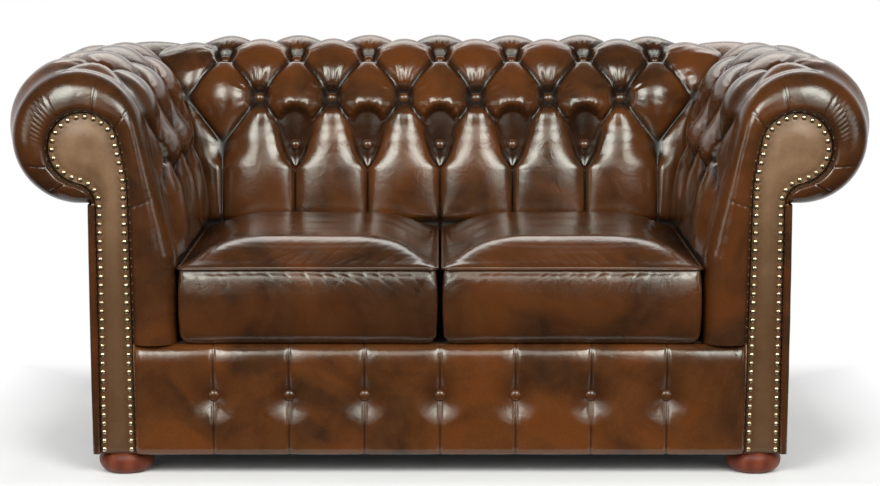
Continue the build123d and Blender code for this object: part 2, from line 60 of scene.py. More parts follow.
rollX = middle("right_arm_top_rail").x
rollZ = middle("right_arm_top_rail").z
rollY = middle("back_top_rail").y
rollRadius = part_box("back_cover")[1].x - rollX
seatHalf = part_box("deck_cover")[1].x
seatOffset = rollX - seatHalf
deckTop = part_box("deck_cover")[1].z
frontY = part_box("right_arm_cover")[0].y
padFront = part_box("right_front_post")[0].y
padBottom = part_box("back_cover")[0].z
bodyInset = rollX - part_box("right_outside_arm_panel")[1].x
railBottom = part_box("front_rail")[0].z
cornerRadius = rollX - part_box("right_rear_post")[0].x
cornerX = rollX - cornerRadius
cornerY = rollY - cornerRadius
lean = math.radians(13)  # the arms and back lean out by this much
bendZ = rollZ + rollRadius * math.sin(lean) - (seatOffset - rollRadius * math.cos(lean)) / math.tan(lean)
uprightRun = bendZ - padBottom
leanRun = (rollZ + rollRadius * math.sin(lean) - bendZ) / math.cos(lean)
tuckAngle = 2 * math.pi - math.acos(bodyInset / rollRadius)
tuckRun = uprightRun + leanRun + rollRadius * (tuckAngle - lean)
print("sizes: roll", round(rollRadius, 4), "seat half", round(seatHalf, 4), "bend", round(bendZ, 4))


# Mesh helpers

sides = (("right", 1), ("left", -1))
plainWearShade = 0.6  # level of wear and painted shade of a piece that has no worn or shaded places of its own
weldGap = 0.00008
solidGap = 0.00005
waves = {"count": 5, "seedTurn": 1.9, "turn": 2.4, "size": 0.6, "sizeStep": 0.17, "seedShift": 5.1, "shift": 1.3}


def smoothStep(low, high, value):
    t = np.clip((value - low) / (high - low), 0, 1)
    return t * t * (3 - 2 * t)


def ripple(x, y, size, seed):
    # waves in several directions that don't repeat, from -1 to 1
    total = 0
    for k in range(waves["count"]):
        turn = waves["seedTurn"] * seed + waves["turn"] * k
        step = size * (waves["size"] + waves["sizeStep"] * k)
        place = (x * math.cos(turn) + y * math.sin(turn)) * 2 * math.pi / step
        total = total + np.sin(place + waves["seedShift"] * seed + waves["shift"] * k)
    return total / waves["count"]


def spread(values, count):
    # a column of values, repeated across a grid
    return np.repeat(np.asarray(values)[:, None], count, axis=1)


def lastTwice(grid):
    return np.vstack([grid, grid[-1:]])


def gridFaces(rows, columns, flip=False):
    index = np.arange(rows * columns).reshape(rows, columns)
    quads = [index[:-1, :-1], index[:-1, 1:], index[1:, 1:], index[1:, :-1]]
    if flip:
        quads.reverse()
    return np.stack(quads, axis=-1).reshape(-1, 4)


def newObject(name, data):
    made = bpy.data.objects.new(name, data)
    scene.collection.objects.link(made)
    return made


def setCrown(mesh, crown=plainWearShade):
    # wear and painted shade of the leather at each point: 0 deep in a fold, where the painted shade is darkest, 1 on
    # the crown of a pillow
    layer = mesh.attributes.new("crown", "FLOAT", "POINT")
    values = np.broadcast_to(np.ravel(crown), len(mesh.vertices))
    layer.data.foreach_set("value", np.ascontiguousarray(values, dtype=np.float32))


def meshPiece(name, points, faces, crown=plainWearShade):
    mesh = bpy.data.meshes.new(name)
    mesh.from_pydata(np.asarray(points).reshape(-1, 3).tolist(), [], np.asarray(faces).tolist())
    setCrown(mesh, crown)
    return newObject(name, mesh)


def mergeDoubles(piece, outward=False):
    work = bmesh.new()
    work.from_mesh(piece.data)
    bmesh.ops.remove_doubles(work, verts=work.verts, dist=weldGap)
    bmesh.ops.dissolve_degenerate(work, edges=work.edges, dist=weldGap / 2)
    if outward:
        bmesh.ops.recalc_face_normals(work, faces=work.faces)
    work.to_mesh(piece.data)
    work.free()
    piece.data.shade_smooth()


def finishPiece(piece, body, material, replaced=()):
    piece.data.materials.clear()
    piece.data.materials.append(material)
    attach(piece, body)
    if replaced:
        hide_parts(*replaced)


def editMode():
    bpy.ops.object.mode_set(mode="EDIT")


def objectMode():
    bpy.ops.object.mode_set(mode="OBJECT")


def selectAll():
    bpy.ops.mesh.select_all(action="SELECT")


def deselectAll():
    if bpy.context.object and bpy.context.object.mode != "OBJECT":
        objectMode()
    bpy.ops.object.select_all(action="DESELECT")


def makeActive(piece):
    deselectAll()
    piece.select_set(True)
    bpy.context.view_layer.objects.active = piece


def applyModifiers(piece):
    makeActive(piece)
    for modifier in list(piece.modifiers):
        bpy.ops.object.modifier_apply(modifier=modifier.name)


def takeMesh(piece):
    # mesh of a finished model, whose own object isn't kept
    mesh = piece.data.copy()
    bpy.data.objects.remove(piece)
    return mesh


def domeModel(look):
    # flattened half ball with a rim drawn down round its foot
    deselectAll()
    bpy.ops.mesh.primitive_uv_sphere_add(
        segments=look["segments"], ring_count=look["rings"], radius=look["radius"],
    )
    dome = bpy.context.object
    editMode()
    selectAll()
    bpy.ops.mesh.bisect(plane_co=(0, 0, 0), plane_no=(0, 0, 1), clear_inner=True)
    selectAll()
    bpy.ops.transform.resize(value=(1, 1, look["rise"] / look["radius"]))
    bpy.ops.mesh.select_all(action="DESELECT")
    objectMode()
    for edge in dome.data.edges:
        edge.select = all(abs(dome.data.vertices[v].co.z) < 1e-5 for v in edge.vertices)
    editMode()
    bpy.ops.mesh.extrude_region_move(TRANSFORM_OT_translate={"value": (0, 0, -look["rim"])})
    bpy.ops.transform.resize(value=(look["foot"], look["foot"], 1))
    objectMode()
    return takeMesh(dome)


def copiesOf(name, model, places):
    # one mesh that holds a copy of the model at each place
    work = bmesh.new()
    for place in places:
        part = model.copy()
        part.transform(place)
        work.from_mesh(part)
        bpy.data.meshes.remove(part)
    mesh = bpy.data.meshes.new(name)
    work.to_mesh(mesh)
    work.free()
    mesh.shade_smooth()
    setCrown(mesh)
    return newObject(name, mesh)


def islands(node):
    # centre of each separate solid in a CAD node
    work = bmesh.new()
    work.from_mesh(frame["nodes"][node].data)
    bmesh.ops.remove_doubles(work, verts=work.verts, dist=solidGap)
    left = set(work.verts)
    centres = []
    while left:
        found = [left.pop()]
        group = list(found)
        while found:
            vert = found.pop()
            for edge in vert.link_edges:
                other = edge.other_vert(vert)
                if other in left:
                    left.remove(other)
                    found.append(other)
                    group.append(other)
        low = Vector(min(v.co[k] for v in group) for k in range(3))
        high = Vector(max(v.co[k] for v in group) for k in range(3))
        centres.append((low + high) / 2)
    work.free()
    return sorted(centres, key=tuple)  # from left to right, in one order each run


# Materials

def give(tree, socket, value):
    # an output is linked to the socket, anything else is set on it
    if isinstance(value, bpy.types.NodeSocket):
        tree.links.new(value, socket)
    else:
        socket.default_value = (*value, 1.0) if socket.type == "RGBA" else value


def giveAll(tree, node, values):
    for name, value in values.items():
        give(tree, node.inputs[name], value)


def addNode(tree, kind, **values):
    node = tree.nodes.new(kind)
    for key, value in values.items():
        if key in node.inputs:
            give(tree, node.inputs[key], value)
        else:
            setattr(node, key, value)
    return node


def startMaterial(name):
    material = bpy.data.materials.new(name)
    material.use_nodes = True
    tree = material.node_tree
    place = tree.nodes.new("ShaderNodeTexCoord").outputs["Object"]
    return material, tree, tree.nodes["Principled BSDF"], place


def addNoise(tree, place, scale, detail, distortion=0.0):
    node = addNode(tree, "ShaderNodeTexNoise", Vector=place, Scale=scale, Detail=detail, Distortion=distortion)
    return node.outputs["Fac"]


def remap(tree, value, low, high, toLow, toHigh):
    ends = {"From Min": low, "From Max": high, "To Min": toLow, "To Max": toHigh}
    return addNode(tree, "ShaderNodeMapRange", Value=value, **ends).outputs["Result"]


def calculate(tree, operation, *values):
    node = addNode(tree, "ShaderNodeMath", operation=operation)
    for k, value in enumerate(values):
        give(tree, node.inputs[k], value)
    return node.outputs[0]


def largest(tree, *values):
    found = values[0]
    for value in values[1:]:
        found = calculate(tree, "MAXIMUM", found, value)
    return found


def mixColour(tree, amount, first, second, blend="MIX"):
    node = addNode(tree, "ShaderNodeMix", data_type="RGBA", blend_type=blend)
    for k, value in ((0, amount), (6, first), (7, second)):  # the colour sockets of this node
        give(tree, node.inputs[k], value)
    return node.outputs[2]


def addBump(tree, height, distance, under=None):
    node = addNode(tree, "ShaderNodeBump", Height=height, Distance=distance, Strength=1.0)
    if under is not None:
        give(tree, node.inputs["Normal"], under)
    return node.outputs["Normal"]


leatherGrain = {
    "patchEdge": (0.39, 0.61), "cloud": 4.3, "cloudEdge": (0.35, 0.7), "wearShadeFrom": (0.05, 0.75),
    "pores": 310.0, "poreEdge": (0.3, 0.75), "poreShade": 0.22,
    "polish": 16.0, "polishEdge": (0.3, 0.7), "polishSpread": (-0.04, 0.06), "dullUpTo": 0.35,
}


def leatherMaterial(name, look):
    material, tree, shader, place = startMaterial(name)
    crown = addNode(tree, "ShaderNodeAttribute", attribute_name="crown").outputs["Fac"]
    broad = remap(tree, addNoise(tree, place, look["patch"], 4, 0.8), *leatherGrain["patchEdge"], 0, 1)
    cloud = addNoise(tree, place, look["patch"] * leatherGrain["cloud"], 6, 0.4)
    cloud = remap(tree, cloud, *leatherGrain["cloudEdge"], 0, 1)
    colour = mixColour(tree, broad, look["deep"], look["warm"])
    colour = mixColour(tree, remap(tree, cloud, 0, 1, 0, look["mottle"]), colour, look["light"])
    # wear and painted shade: low crown values mix the colour towards the near-black valley colour, darkest in folds,
    # pits and seams
    colour = mixColour(tree, remap(tree, crown, *leatherGrain["wearShadeFrom"], 0, 1), look["valley"], colour)
    pores = addNoise(tree, place, leatherGrain["pores"], 3)
    pores = remap(tree, pores, *leatherGrain["poreEdge"], 0, leatherGrain["poreShade"])
    colour = mixColour(tree, pores, colour, look["valley"])
    low, high = (look["rough"] + change for change in leatherGrain["polishSpread"])
    polish = remap(tree, addNoise(tree, place, leatherGrain["polish"], 5), *leatherGrain["polishEdge"], low, high)
    dull = remap(tree, crown, 0.0, leatherGrain["dullUpTo"], look["valleyRough"], 0)
    cells = addNode(tree, "ShaderNodeTexVoronoi", Vector=place, Scale=look["grain"])
    grain = addBump(tree, cells.outputs["Distance"], look["grainDepth"])
    crease = addNoise(tree, place, look["crease"], 5, 1.4)
    giveAll(tree, shader, {
        "Base Color": colour, "Roughness": largest(tree, polish, dull),
        "Normal": addBump(tree, crease, look["creaseDepth"], grain),
        "Specular IOR Level": look["specular"], "Specular Tint": look["tint"],
    })
    return material


woodGrain = {
    "waver": 7.0, "waverDetail": 4.0, "poreEdge": (0.35, 0.75), "poreShade": 0.45, "poreDepth": 0.0004,
    "polishEdge": (0.3, 0.7), "polishSpread": 0.15,
}


def woodMaterial(name, look):
    material, tree, shader, place = startMaterial(name)
    along = addNode(tree, "ShaderNodeMapping", Vector=place, Scale=look["stretch"]).outputs["Vector"]
    bands = addNode(
        tree, "ShaderNodeTexWave", Vector=along, Scale=look["bands"], Distortion=woodGrain["waver"],
        Detail=woodGrain["waverDetail"],
    )
    pores = addNoise(tree, along, look["pores"], 6)
    colour = mixColour(tree, bands.outputs["Fac"], look["dark"], look["light"])
    shade = remap(tree, pores, *woodGrain["poreEdge"], 0, woodGrain["poreShade"])
    dullest = look["rough"] + woodGrain["polishSpread"]
    giveAll(tree, shader, {
        "Base Color": mixColour(tree, shade, colour, look["dark"]),
        "Roughness": remap(tree, pores, *woodGrain["polishEdge"], look["rough"], dullest),
        "Normal": addBump(tree, pores, woodGrain["poreDepth"]), "Specular IOR Level": look["specular"],
    })
    return material


metalWear = {"edge": (0.4, 0.68), "dulling": 0.2, "scratches": 900.0, "scratchDepth": 0.0001}


def metalMaterial(name, look):
    material, tree, shader, place = startMaterial(name)
    tarnish = remap(tree, addNoise(tree, place, look["patch"], 5), *metalWear["edge"], 0, 1)
    scratches = addNoise(tree, place, metalWear["scratches"], 3)
    giveAll(tree, shader, {
        "Base Color": mixColour(tree, tarnish, look["bright"], look["dull"]),
        "Roughness": remap(tree, tarnish, 0, 1, look["rough"], look["rough"] + metalWear["dulling"]),
        "Normal": addBump(tree, scratches, metalWear["scratchDepth"]), "Metallic": 1.0,
    })
    return material


clothWeave = {
    "shade": 0.35, "depth": 0.0003, "lint": 24.0, "lintEdge": (0.3, 0.75), "rough": (0.82, 0.95), "sheen": 0.05,
    "specular": 0.15,
}


def clothMaterial(name, look):
    material, tree, shader, place = startMaterial(name)
    warp, weft = (
        addNode(tree, "ShaderNodeTexWave", Vector=place, Scale=look["threads"], bands_direction=way).outputs["Fac"]
        for way in ("X", "Y")
    )
    weave = mixColour(tree, 0.5, warp, weft)
    lint = remap(tree, addNoise(tree, place, clothWeave["lint"], 5), *clothWeave["lintEdge"], 0, 1)
    colour = mixColour(tree, lint, look["dark"], look["light"])
    giveAll(tree, shader, {
        "Base Color": mixColour(tree, clothWeave["shade"], colour, weave, "MULTIPLY"),
        "Roughness": remap(tree, lint, 0, 1, *clothWeave["rough"]),
        "Normal": addBump(tree, weave, clothWeave["depth"]),
        "Sheen Weight": clothWeave["sheen"], "Specular IOR Level": clothWeave["specular"],
    })
    return material


def foamMaterial(name, look):
    material, tree, shader, place = startMaterial(name)
    cells = addNode(tree, "ShaderNodeTexVoronoi", Vector=place, Scale=look["cells"])
    age = remap(tree, addNoise(tree, place, look["patch"], 4), *look["patchEdge"], 0, 1)
    giveAll(tree, shader, {
        "Base Color": mixColour(tree, age, look["fresh"], look["aged"]),
        "Roughness": remap(tree, age, 0, 1, *look["rough"]),
        "Normal": addBump(tree, cells.outputs["Distance"], look["cellDepth"]),
    })
    return material


leather = leatherMaterial("glossyBrownLeather", {
    "deep": (0.040, 0.0158, 0.0062), "warm": (0.118, 0.036, 0.0080), "light": (0.108, 0.041, 0.0125),
    # valley: near-black painted shade for folds, pits and seams
    "valley": (0.006, 0.0028, 0.0018), "patch": 5.6, "mottle": 0.5, "rough": 0.17, "valleyRough": 0.52,
    "grain": 640.0, "grainDepth": 0.00007, "crease": 30.0, "creaseDepth": 0.0006, "specular": 0.62,
    "tint": (0.93, 1.0, 0.96),
})
facingLeather = leatherMaterial("satinFacingLeather", {
    "deep": (0.150, 0.089, 0.047), "warm": (0.200, 0.120, 0.066), "light": (0.27, 0.173, 0.102),
    # valley: painted shade for the panel's edge and its lower part
    "valley": (0.055, 0.021, 0.006), "patch": 7.0, "mottle": 0.45, "rough": 0.34, "valleyRough": 0.7,
    "grain": 700.0, "grainDepth": 0.00012, "crease": 60.0, "creaseDepth": 0.0003, "specular": 0.36,
    "tint": (1.0, 1.0, 0.96),
})
nailBrass = metalMaterial("antiqueNailBrass", {
    "bright": (0.64, 0.54, 0.36), "dull": (0.32, 0.25, 0.15), "patch": 150.0, "rough": 0.24,
})
zipBrass = metalMaterial("zipBrass", {
    "bright": (0.6, 0.44, 0.22), "dull": (0.32, 0.22, 0.11), "patch": 220.0, "rough": 0.25,
})
springSteel = metalMaterial("springSteel", {
    "bright": (0.5, 0.5, 0.51), "dull": (0.25, 0.25, 0.26), "patch": 60.0, "rough": 0.3,
})
footWood = woodMaterial("polishedMahogany", {
    "dark": (0.092, 0.017, 0.006), "light": (0.150, 0.034, 0.012), "stretch": (1.0, 1.0, 0.25),
    "bands": 9.0, "pores": 130.0, "rough": 0.36, "specular": 0.25,
})
frameWood = woodMaterial("planedHardwood", {
    "dark": (0.36, 0.22, 0.11), "light": (0.6, 0.42, 0.24), "stretch": (0.25, 1.0, 1.0),
    "bands": 14.0, "pores": 90.0, "rough": 0.5, "specular": 0.4,
})
liningCloth = clothMaterial("blackLiningCloth", {
    "dark": (0.012, 0.011, 0.01), "light": (0.035, 0.032, 0.029), "threads": 260.0,
})
platformCloth = clothMaterial("brownPlatformCloth", {
    "dark": (0.010, 0.005, 0.003), "light": (0.026, 0.014, 0.008), "threads": 260.0,
})
foam = foamMaterial("seatFoam", {
    "fresh": (0.82, 0.76, 0.58), "aged": (0.72, 0.6, 0.38), "patch": 9.0, "patchEdge": (0.3, 0.7),
    "rough": (0.88, 0.97), "cells": 420.0, "cellDepth": 0.001,
})
print("materials made")


# Buttoned covers of the arms and the back

tuftLook = {
    "rise": 0.025, "crease": 0.11, "sink": 0.014, "pit": (0.008, 0.032), "wrinkle": 0.0017, "folds": 20,
    "foldAway": 0.037, "foldWidth": 0.015, "slack": 0.0011, "slackSize": 0.19, "step": 0.0036, "firstRun": 0.012,
    "fluteNarrow": 0.055, "fluteSharp": 0.8, "rearSharp": 0.6, "fluteLow": (0.400, 0.420, 0.515),
    "fluteRest": 0.5, "rearFade": 245, "tuckIn": 0.006, "tuckUp": 0.010,
    # wear and painted shade: darker down the pleats, in the pits, in the bowls and at the corner seams
    "wearAndShade": 1.8, "pitShade": 0.75, "hollowShade": 0.27, "seamShade": 0.35, "fullFrom": 1.5, "fill": 0.85,
}
hollowLook = {
    "wide": 0.041, "arch": 0.038, "tip": -0.050, "sink": 0.016, "lip": 0.012, "lean": (-0.020, 0.100),
    "dish": 0.008, "dishReach": 1.2, "dip": 0.006, "dipReach": 0.030, "rim": (0.70, 1.14),
    "lipRise": 0.0120, "lipReach": 2.3, "lipStretch": 0.68, "lipFrom": (0.025, 0.075),
    "foldWidth": 0.20, "foldFrom": (0.03, 0.06),
}
cornerLook = {
    "crease": -0.004, "soft": 0.075, "amount": 0.4, "over": 42, "turns": 44, "wrinkle": 0.0011,
    "wrinkleFrom": (0.19, 0.10), "wrinkleFade": (65, 95), "wrinklePatch": 0.11, "wrinkleSeed": 9.0,
    "wrinkleClose": 260, "wrinkleBend": 4, "wrinkleWander": 30,
}
backField = {
    "pitch": 0.152, "first": 0.0, "heights": (0.564, 0.660), "angles": (60, 107, 154), "margin": 0.090,
    "fade": 0.20, "perPitch": 42, "seed": 1.0,
}
armField = {
    "pitch": 0.187, "first": frontY + 0.220, "heights": (0.517, 0.600), "angles": (33, 76, 119), "margin": 0.050,
    "fade": 0.15, "start": padFront + 0.035, "seed": 2.0,
}
spotSlip = 0.001  # rows and ends count as met within this


def profile(run):
    # depth in front of the roll's centre line, height, and outward direction of the plain padded section
    onUpright = run < uprightRun
    onLean = ~onUpright & (run < uprightRun + leanRun)
    rest = run - uprightRun
    angle = lean + (rest - leanRun) / rollRadius
    out = np.where(onUpright, 0.0, np.where(onLean, lean, angle))
    depth = np.where(onLean, seatOffset - rest * math.sin(lean), rollRadius * np.cos(angle))
    height = np.where(onLean, bendZ + rest * math.cos(lean), rollZ + rollRadius * np.sin(angle))
    depth = np.where(onUpright, seatOffset, depth)
    height = np.where(onUpright, padBottom + run, height)
    return depth, height, np.cos(out), np.sin(out)


def runAtHeight(height):
    return uprightRun + (height - bendZ) / math.cos(lean)


def runAtAngle(degrees):
    return uprightRun + leanRun + rollRadius * (math.radians(degrees) - lean)


def rowsOf(field):
    return np.array([runAtHeight(h) for h in field["heights"]] + [runAtAngle(a) for a in field["angles"]])


def pleat(turns):
    soft = tuftLook["crease"]
    wave = np.sin(np.pi * turns)
    return (np.sqrt(wave * wave + soft * soft) - soft) / (math.sqrt(1 + soft * soft) - soft)


def pillows(column, run, rows):
    # share of the full rise and of the wear and painted shade: diamonds between the rows, flutes below and behind
    # them
    row = np.interp(run, rows, np.arange(len(rows)))
    diamonds = np.sqrt(pleat(column + row / 2) * pleat(column - row / 2))
    drop = np.maximum(rows[0] - run, 0)
    narrow = 1 - tuftLook["fluteSharp"] * smoothStep(0, tuftLook["fluteNarrow"], drop)
    tucked, seat, upper = (runAtHeight(height) for height in tuftLook["fluteLow"])
    low = 1 - (1 - tuftLook["fluteRest"]) * np.clip((upper - run) / (upper - seat), 0, 1) ** 2
    low = low * smoothStep(tucked, seat, run)
    past = np.maximum(run - rows[-1], 0)
    rearNarrow = 1 - tuftLook["rearSharp"] * smoothStep(0, tuftLook["fluteNarrow"], past)
    rear = 1 - smoothStep(0, runAtAngle(tuftLook["rearFade"]) - rows[-1], past)
    flutes = pleat(column)
    shape = np.where(drop > 0, flutes ** narrow * low, diamonds)
    shape = np.where(past > 0, flutes ** rearNarrow, shape)
    return shape * rear, 1 - (1 - shape) * rear


def hollow(across, up):
    # teardrop bowl round a button of the lowest row: a wide arch over it and a tip under it
    wide, arch, tip, sink = (hollowLook[key] for key in ("wide", "arch", "tip", "sink"))
    half = wide * np.clip((up - tip) / (arch - tip), 1e-3, 1) ** 0.5
    above = np.maximum(up - arch, 0) / wide
    reach = np.hypot(across / half, above)
    rise = (sink + hollowLook["lip"]) * smoothStep(*hollowLook["lean"], up)
    floor = rise - sink + hollowLook["dish"] * np.minimum(reach, hollowLook["dishReach"]) ** 2
    floor = floor - hollowLook["dip"] * smoothStep(0.0, hollowLook["dipReach"], -up)
    around = np.hypot(hollowLook["lipStretch"] * across / half, above)
    lip = hollowLook["lipRise"] * (1 - smoothStep(1.0, hollowLook["lipReach"], around))
    return 1 - smoothStep(*hollowLook["rim"], reach), reach, floor, lip * smoothStep(*hollowLook["lipFrom"], up)


def pits(along, run, spots, rows):
    # pits round the buttons, bowls of the lowest row with their floors, folds that fan out of both, and lips
    deepest, bowls, floors, folds, lips = np.zeros((5, *np.broadcast(along, run).shape))
    for spot, spotRun in spots:
        up = run - spotRun
        across = along - spot
        inBowl = spotRun < rows[0] + spotSlip
        turn = np.arctan2(up - hollowLook["arch"] * inBowl, across)
        fan = np.sin(tuftLook["folds"] * turn + 2 * np.sin(3 * turn + 50 * spot))  # unlike from spot to spot
        if inBowl:
            bowl, reach, floor, lip = hollow(across, up)
            lips = np.maximum(lips, lip)
            floors = np.where(bowl > bowls, floor, floors)
            bowls = np.maximum(bowls, bowl)
            ring = np.exp(-((reach - 1.0) / hollowLook["foldWidth"]) ** 2)
            folds += fan * ring * smoothStep(*hollowLook["foldFrom"], up)
        else:
            away = np.hypot(across, up)
            deepest = np.maximum(deepest, 1 - smoothStep(*tuftLook["pit"], away))
            ring = np.exp(-((away - tuftLook["foldAway"]) / tuftLook["foldWidth"]) ** 2)
            folds += fan * ring * (0.2 + 0.8 * smoothStep(0, 0.02, up))  # most of them above the button
    return deepest, bowls, floors, folds, lips


def buttonSpots(field, rows, corner):
    # places along each row, from the field's start or its mirrored end to the corner
    spots = []
    for k, run in enumerate(rows):
        depth = float(profile(np.array(run))[0])
        last = corner - max(0, depth - cornerRadius) - field["margin"]
        start = field.get("start", -last)
        for column in range(-8, 9):
            along = field["first"] + (column + k / 2) * field["pitch"]
            if start - spotSlip <= along <= last + spotSlip:
                spots.append((along, float(run)))
    return spots


backRows = rowsOf(backField)
armRows = rowsOf(armField)
backSpots = buttonSpots(backField, backRows, cornerX)
armSpots = buttonSpots(armField, armRows, cornerY)
print("buttons: back", len(backSpots), "arm", len(armSpots))


def coverHeight(along, run, field, rows, spots, amount, seed):
    # height over the plain section, and the leather's wear and painted shade there
    deepest, bowls, floors, folds, lips = pits(along, run, spots, rows)
    swell, raised = pillows((along - field["first"]) / field["pitch"], run, rows)
    full = np.clip(amount * tuftLook["fullFrom"], 0, 1)
    pillow = amount * tuftLook["rise"] * swell - tuftLook["sink"] * deepest * full
    height = (pillow + lips * full) * (1 - bowls) + floors * bowls * full
    height = height + amount * tuftLook["wrinkle"] * folds
    height = height + tuftLook["slack"] * ripple(along, run, tuftLook["slackSize"], seed) * swell * (1 - bowls)
    # painted shade: darker towards the pleats, in the pits and in the bowls
    wornShaded = np.clip(tuftLook["wearAndShade"] * raised, 0, 1) * (1 - tuftLook["pitShade"] * deepest)
    wornShaded = wornShaded + (tuftLook["hollowShade"] - wornShaded) * bowls
    return height, 1 - (1 - wornShaded) * full


# Rows of the cover meshes: the pole of the rear corner lies on one of them
poleAngle = math.degrees(math.acos(cornerRadius / (rollRadius + cornerLook["crease"])))
poleRun = runAtAngle(poleAngle)
lowerRuns = np.linspace(tuftLook["firstRun"], poleRun, round(poleRun / tuftLook["step"]))
upperRuns = np.linspace(poleRun, tuckRun, round((tuckRun - poleRun) / tuftLook["step"]))
coverRuns = np.concatenate([lowerRuns, upperRuns[1:]])
overCorner = smoothStep(runAtAngle(poleAngle), runAtAngle(poleAngle + cornerLook["over"]), coverRuns)


def seamEnd(limit):
    # where each row of a cover stops at the corner seam
    depth, _, outDepth, _ = profile(coverRuns)
    return limit - np.maximum(0, depth + cornerLook["crease"] * outDepth - cornerRadius)


def cornerEdge(away):
    # 0 at the corner seam and 1 a little away from it and over the roll, with a full round edge
    near = np.clip(away / cornerLook["soft"], 0, 1)
    return np.maximum(np.sqrt(1 - (1 - near) ** 2), overCorner[:, None])


def cornerAmount(along, limit, fade):
    return 1 - (1 - cornerLook["amount"]) * smoothStep(limit - fade, limit, along)


def toSeam(height, edge):
    return cornerLook["crease"] + (height - cornerLook["crease"]) * edge


def seamShade(edge):
    # painted shade: darker at the corner seam, where the back meets the arm
    return tuftLook["seamShade"] + (1 - tuftLook["seamShade"]) * edge


def tuckUnder(depth, height):
    # the free edge behind the roll turns in under itself
    depth = np.vstack([depth, depth[-1:] + tuftLook["tuckIn"]])
    return depth, np.vstack([height, height[-1:] + tuftLook["tuckUp"]])


def raisedOver(run, height):
    depth, rise, outDepth, outRise = profile(run)
    return depth + height * outDepth, rise + height * outRise


def backColumns(ends):
    # columns that fall on the pleats, and outer ones that stretch to the corner seam
    count = backField["perPitch"]
    inner = np.arange(-3 * count, 3 * count + 1) * backField["pitch"] / count
    share = np.linspace(0, 1, count)[1:]
    outer = inner[-1] + (ends[:, None] - inner[-1]) * share[None, :]
    return np.hstack([-outer[:, ::-1], spread(inner, len(ends)).T, outer])


def cornerWrinkles(along, run):
    # small drawn creases beside the corner seams
    start, full = (cornerX - reach for reach in cornerLook["wrinkleFrom"])
    drawn = smoothStep(start, full, np.abs(along)) * smoothStep(backRows[0], backRows[1], run)
    drawn = drawn * (1 - smoothStep(*(runAtAngle(angle) for angle in cornerLook["wrinkleFade"]), run))
    drawn = drawn * ripple(along, run, cornerLook["wrinklePatch"], cornerLook["wrinkleSeed"])
    bend = cornerLook["wrinkleBend"] * np.sin(cornerLook["wrinkleWander"] * along)
    return cornerLook["wrinkle"] * (drawn * np.sin(cornerLook["wrinkleClose"] * run + bend))


def backCover():
    ends = seamEnd(cornerX)
    along = backColumns(ends)
    run = spread(coverRuns, along.shape[1])
    amount = cornerAmount(np.abs(along), cornerX, backField["fade"])
    height, wornShaded = coverHeight(along, run, backField, backRows, backSpots, amount, backField["seed"])
    edge = cornerEdge(ends[:, None] - np.abs(along))
    height = toSeam(height + cornerWrinkles(along, run), edge)
    deep, high = tuckUnder(*raisedOver(run, height))
    wide = lastTwice(along)
    points = np.stack([wide, rollY - deep, high], axis=-1)
    crown = lastTwice(wornShaded) * seamShade(lastTwice(edge))
    meshes = [(points.reshape(-1, 3), gridFaces(*wide.shape), crown.ravel())]
    meshes += [rearElbow(side) for _, side in sides]
    allPoints, allFaces, allCrown = zip(*meshes)
    starts = np.cumsum([0] + [len(some) for some in allPoints])
    allFaces = [faces + start for faces, start in zip(allFaces, starts)]
    return np.vstack(allPoints), np.vstack(allFaces), np.concatenate(allCrown)


def rearElbow(side):
    turns = np.linspace(0, 1, cornerLook["turns"])
    runs = upperRuns
    over = overCorner[len(lowerRuns) - 1:]
    lastColumn = (cornerX - backField["first"]) / backField["pitch"]
    armEnd = (cornerY - armField["first"]) / armField["pitch"]
    across = math.ceil(lastColumn + armEnd) - armEnd - lastColumn
    first = ripple(np.full(len(runs), cornerX) * side, runs, tuftLook["slackSize"], backField["seed"])
    second = ripple(np.full(len(runs), cornerY), runs, tuftLook["slackSize"], armField["seed"] + side)
    height = np.zeros((len(runs), len(turns)))
    for k, turn in enumerate(turns):
        rows = backRows + (armRows - backRows) * turn
        swell, _ = pillows(np.full(len(runs), lastColumn + across * turn), runs, rows)
        height[:, k] = cornerLook["amount"] * tuftLook["rise"] * swell
        height[:, k] += tuftLook["slack"] * swell * (first + (second - first) * turn)
    height = toSeam(height, over[:, None])
    deep, high = tuckUnder(*raisedOver(spread(runs, len(turns)), height))
    away = cornerRadius - deep
    angle = np.pi / 2 * spread(turns, len(deep)).T
    points = np.stack([side * (cornerX + away * np.sin(angle)), cornerY + away * np.cos(angle), high], axis=-1)
    crown = seamShade(spread(np.append(over, over[-1]), len(turns)))
    return points.reshape(-1, 3), gridFaces(*deep.shape, flip=side < 0), crown.ravel()


# Scroll fronts: the facing panel's outline and the padded ring round it

facing = {
    "headRadius": 0.066, "headShift": 0.011, "tailOuter": 0.030, "tailInner": 0.097, "neckRound": 0.040,
    "shoulderInner": 0.090, "shoulderDrop": 0.053, "shoulderSoft": 0.003, "edgeRound": 0.006, "dome": 0.0070,
    "domeReach": (0.009, 0.044), "nailDimple": 0.0012, "dimpleReach": (0.004, 0.010), "nailLift": 0.0006,
    "tailStep": 0.006, "neckDrop": 0.003, "neckRows": 30, "headRows": 26, "columns": 36, "footColumns": 24,
    # painted shade at the panel's edge and towards its bottom; a darker band along the nail row
    "wearAndShade": 0.75, "edgeShade": 0.5, "edgeReach": 0.009, "nailDark": 0.25, "nailLine": 0.014, "nailBand": 0.006,
    "lowShade": 0.38, "lowShadeFrom": 0.20, "fill": 0.95,
}
panelLow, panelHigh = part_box("right_facing_panel")
headZ = panelHigh.z - facing["headRadius"]
neckDepth = facing["tailOuter"] - facing["neckRound"]
neckReach = facing["headRadius"] + facing["neckRound"]
neckZ = headZ - math.sqrt(neckReach ** 2 - (neckDepth - facing["headShift"]) ** 2)
neckTurn = math.atan2(headZ - neckZ, facing["headShift"] - neckDepth)
headLast = neckTurn + math.pi
jointDepth = facing["headShift"] + facing["headRadius"] * math.cos(lean)
jointZ = headZ + facing["headRadius"] * math.sin(lean)
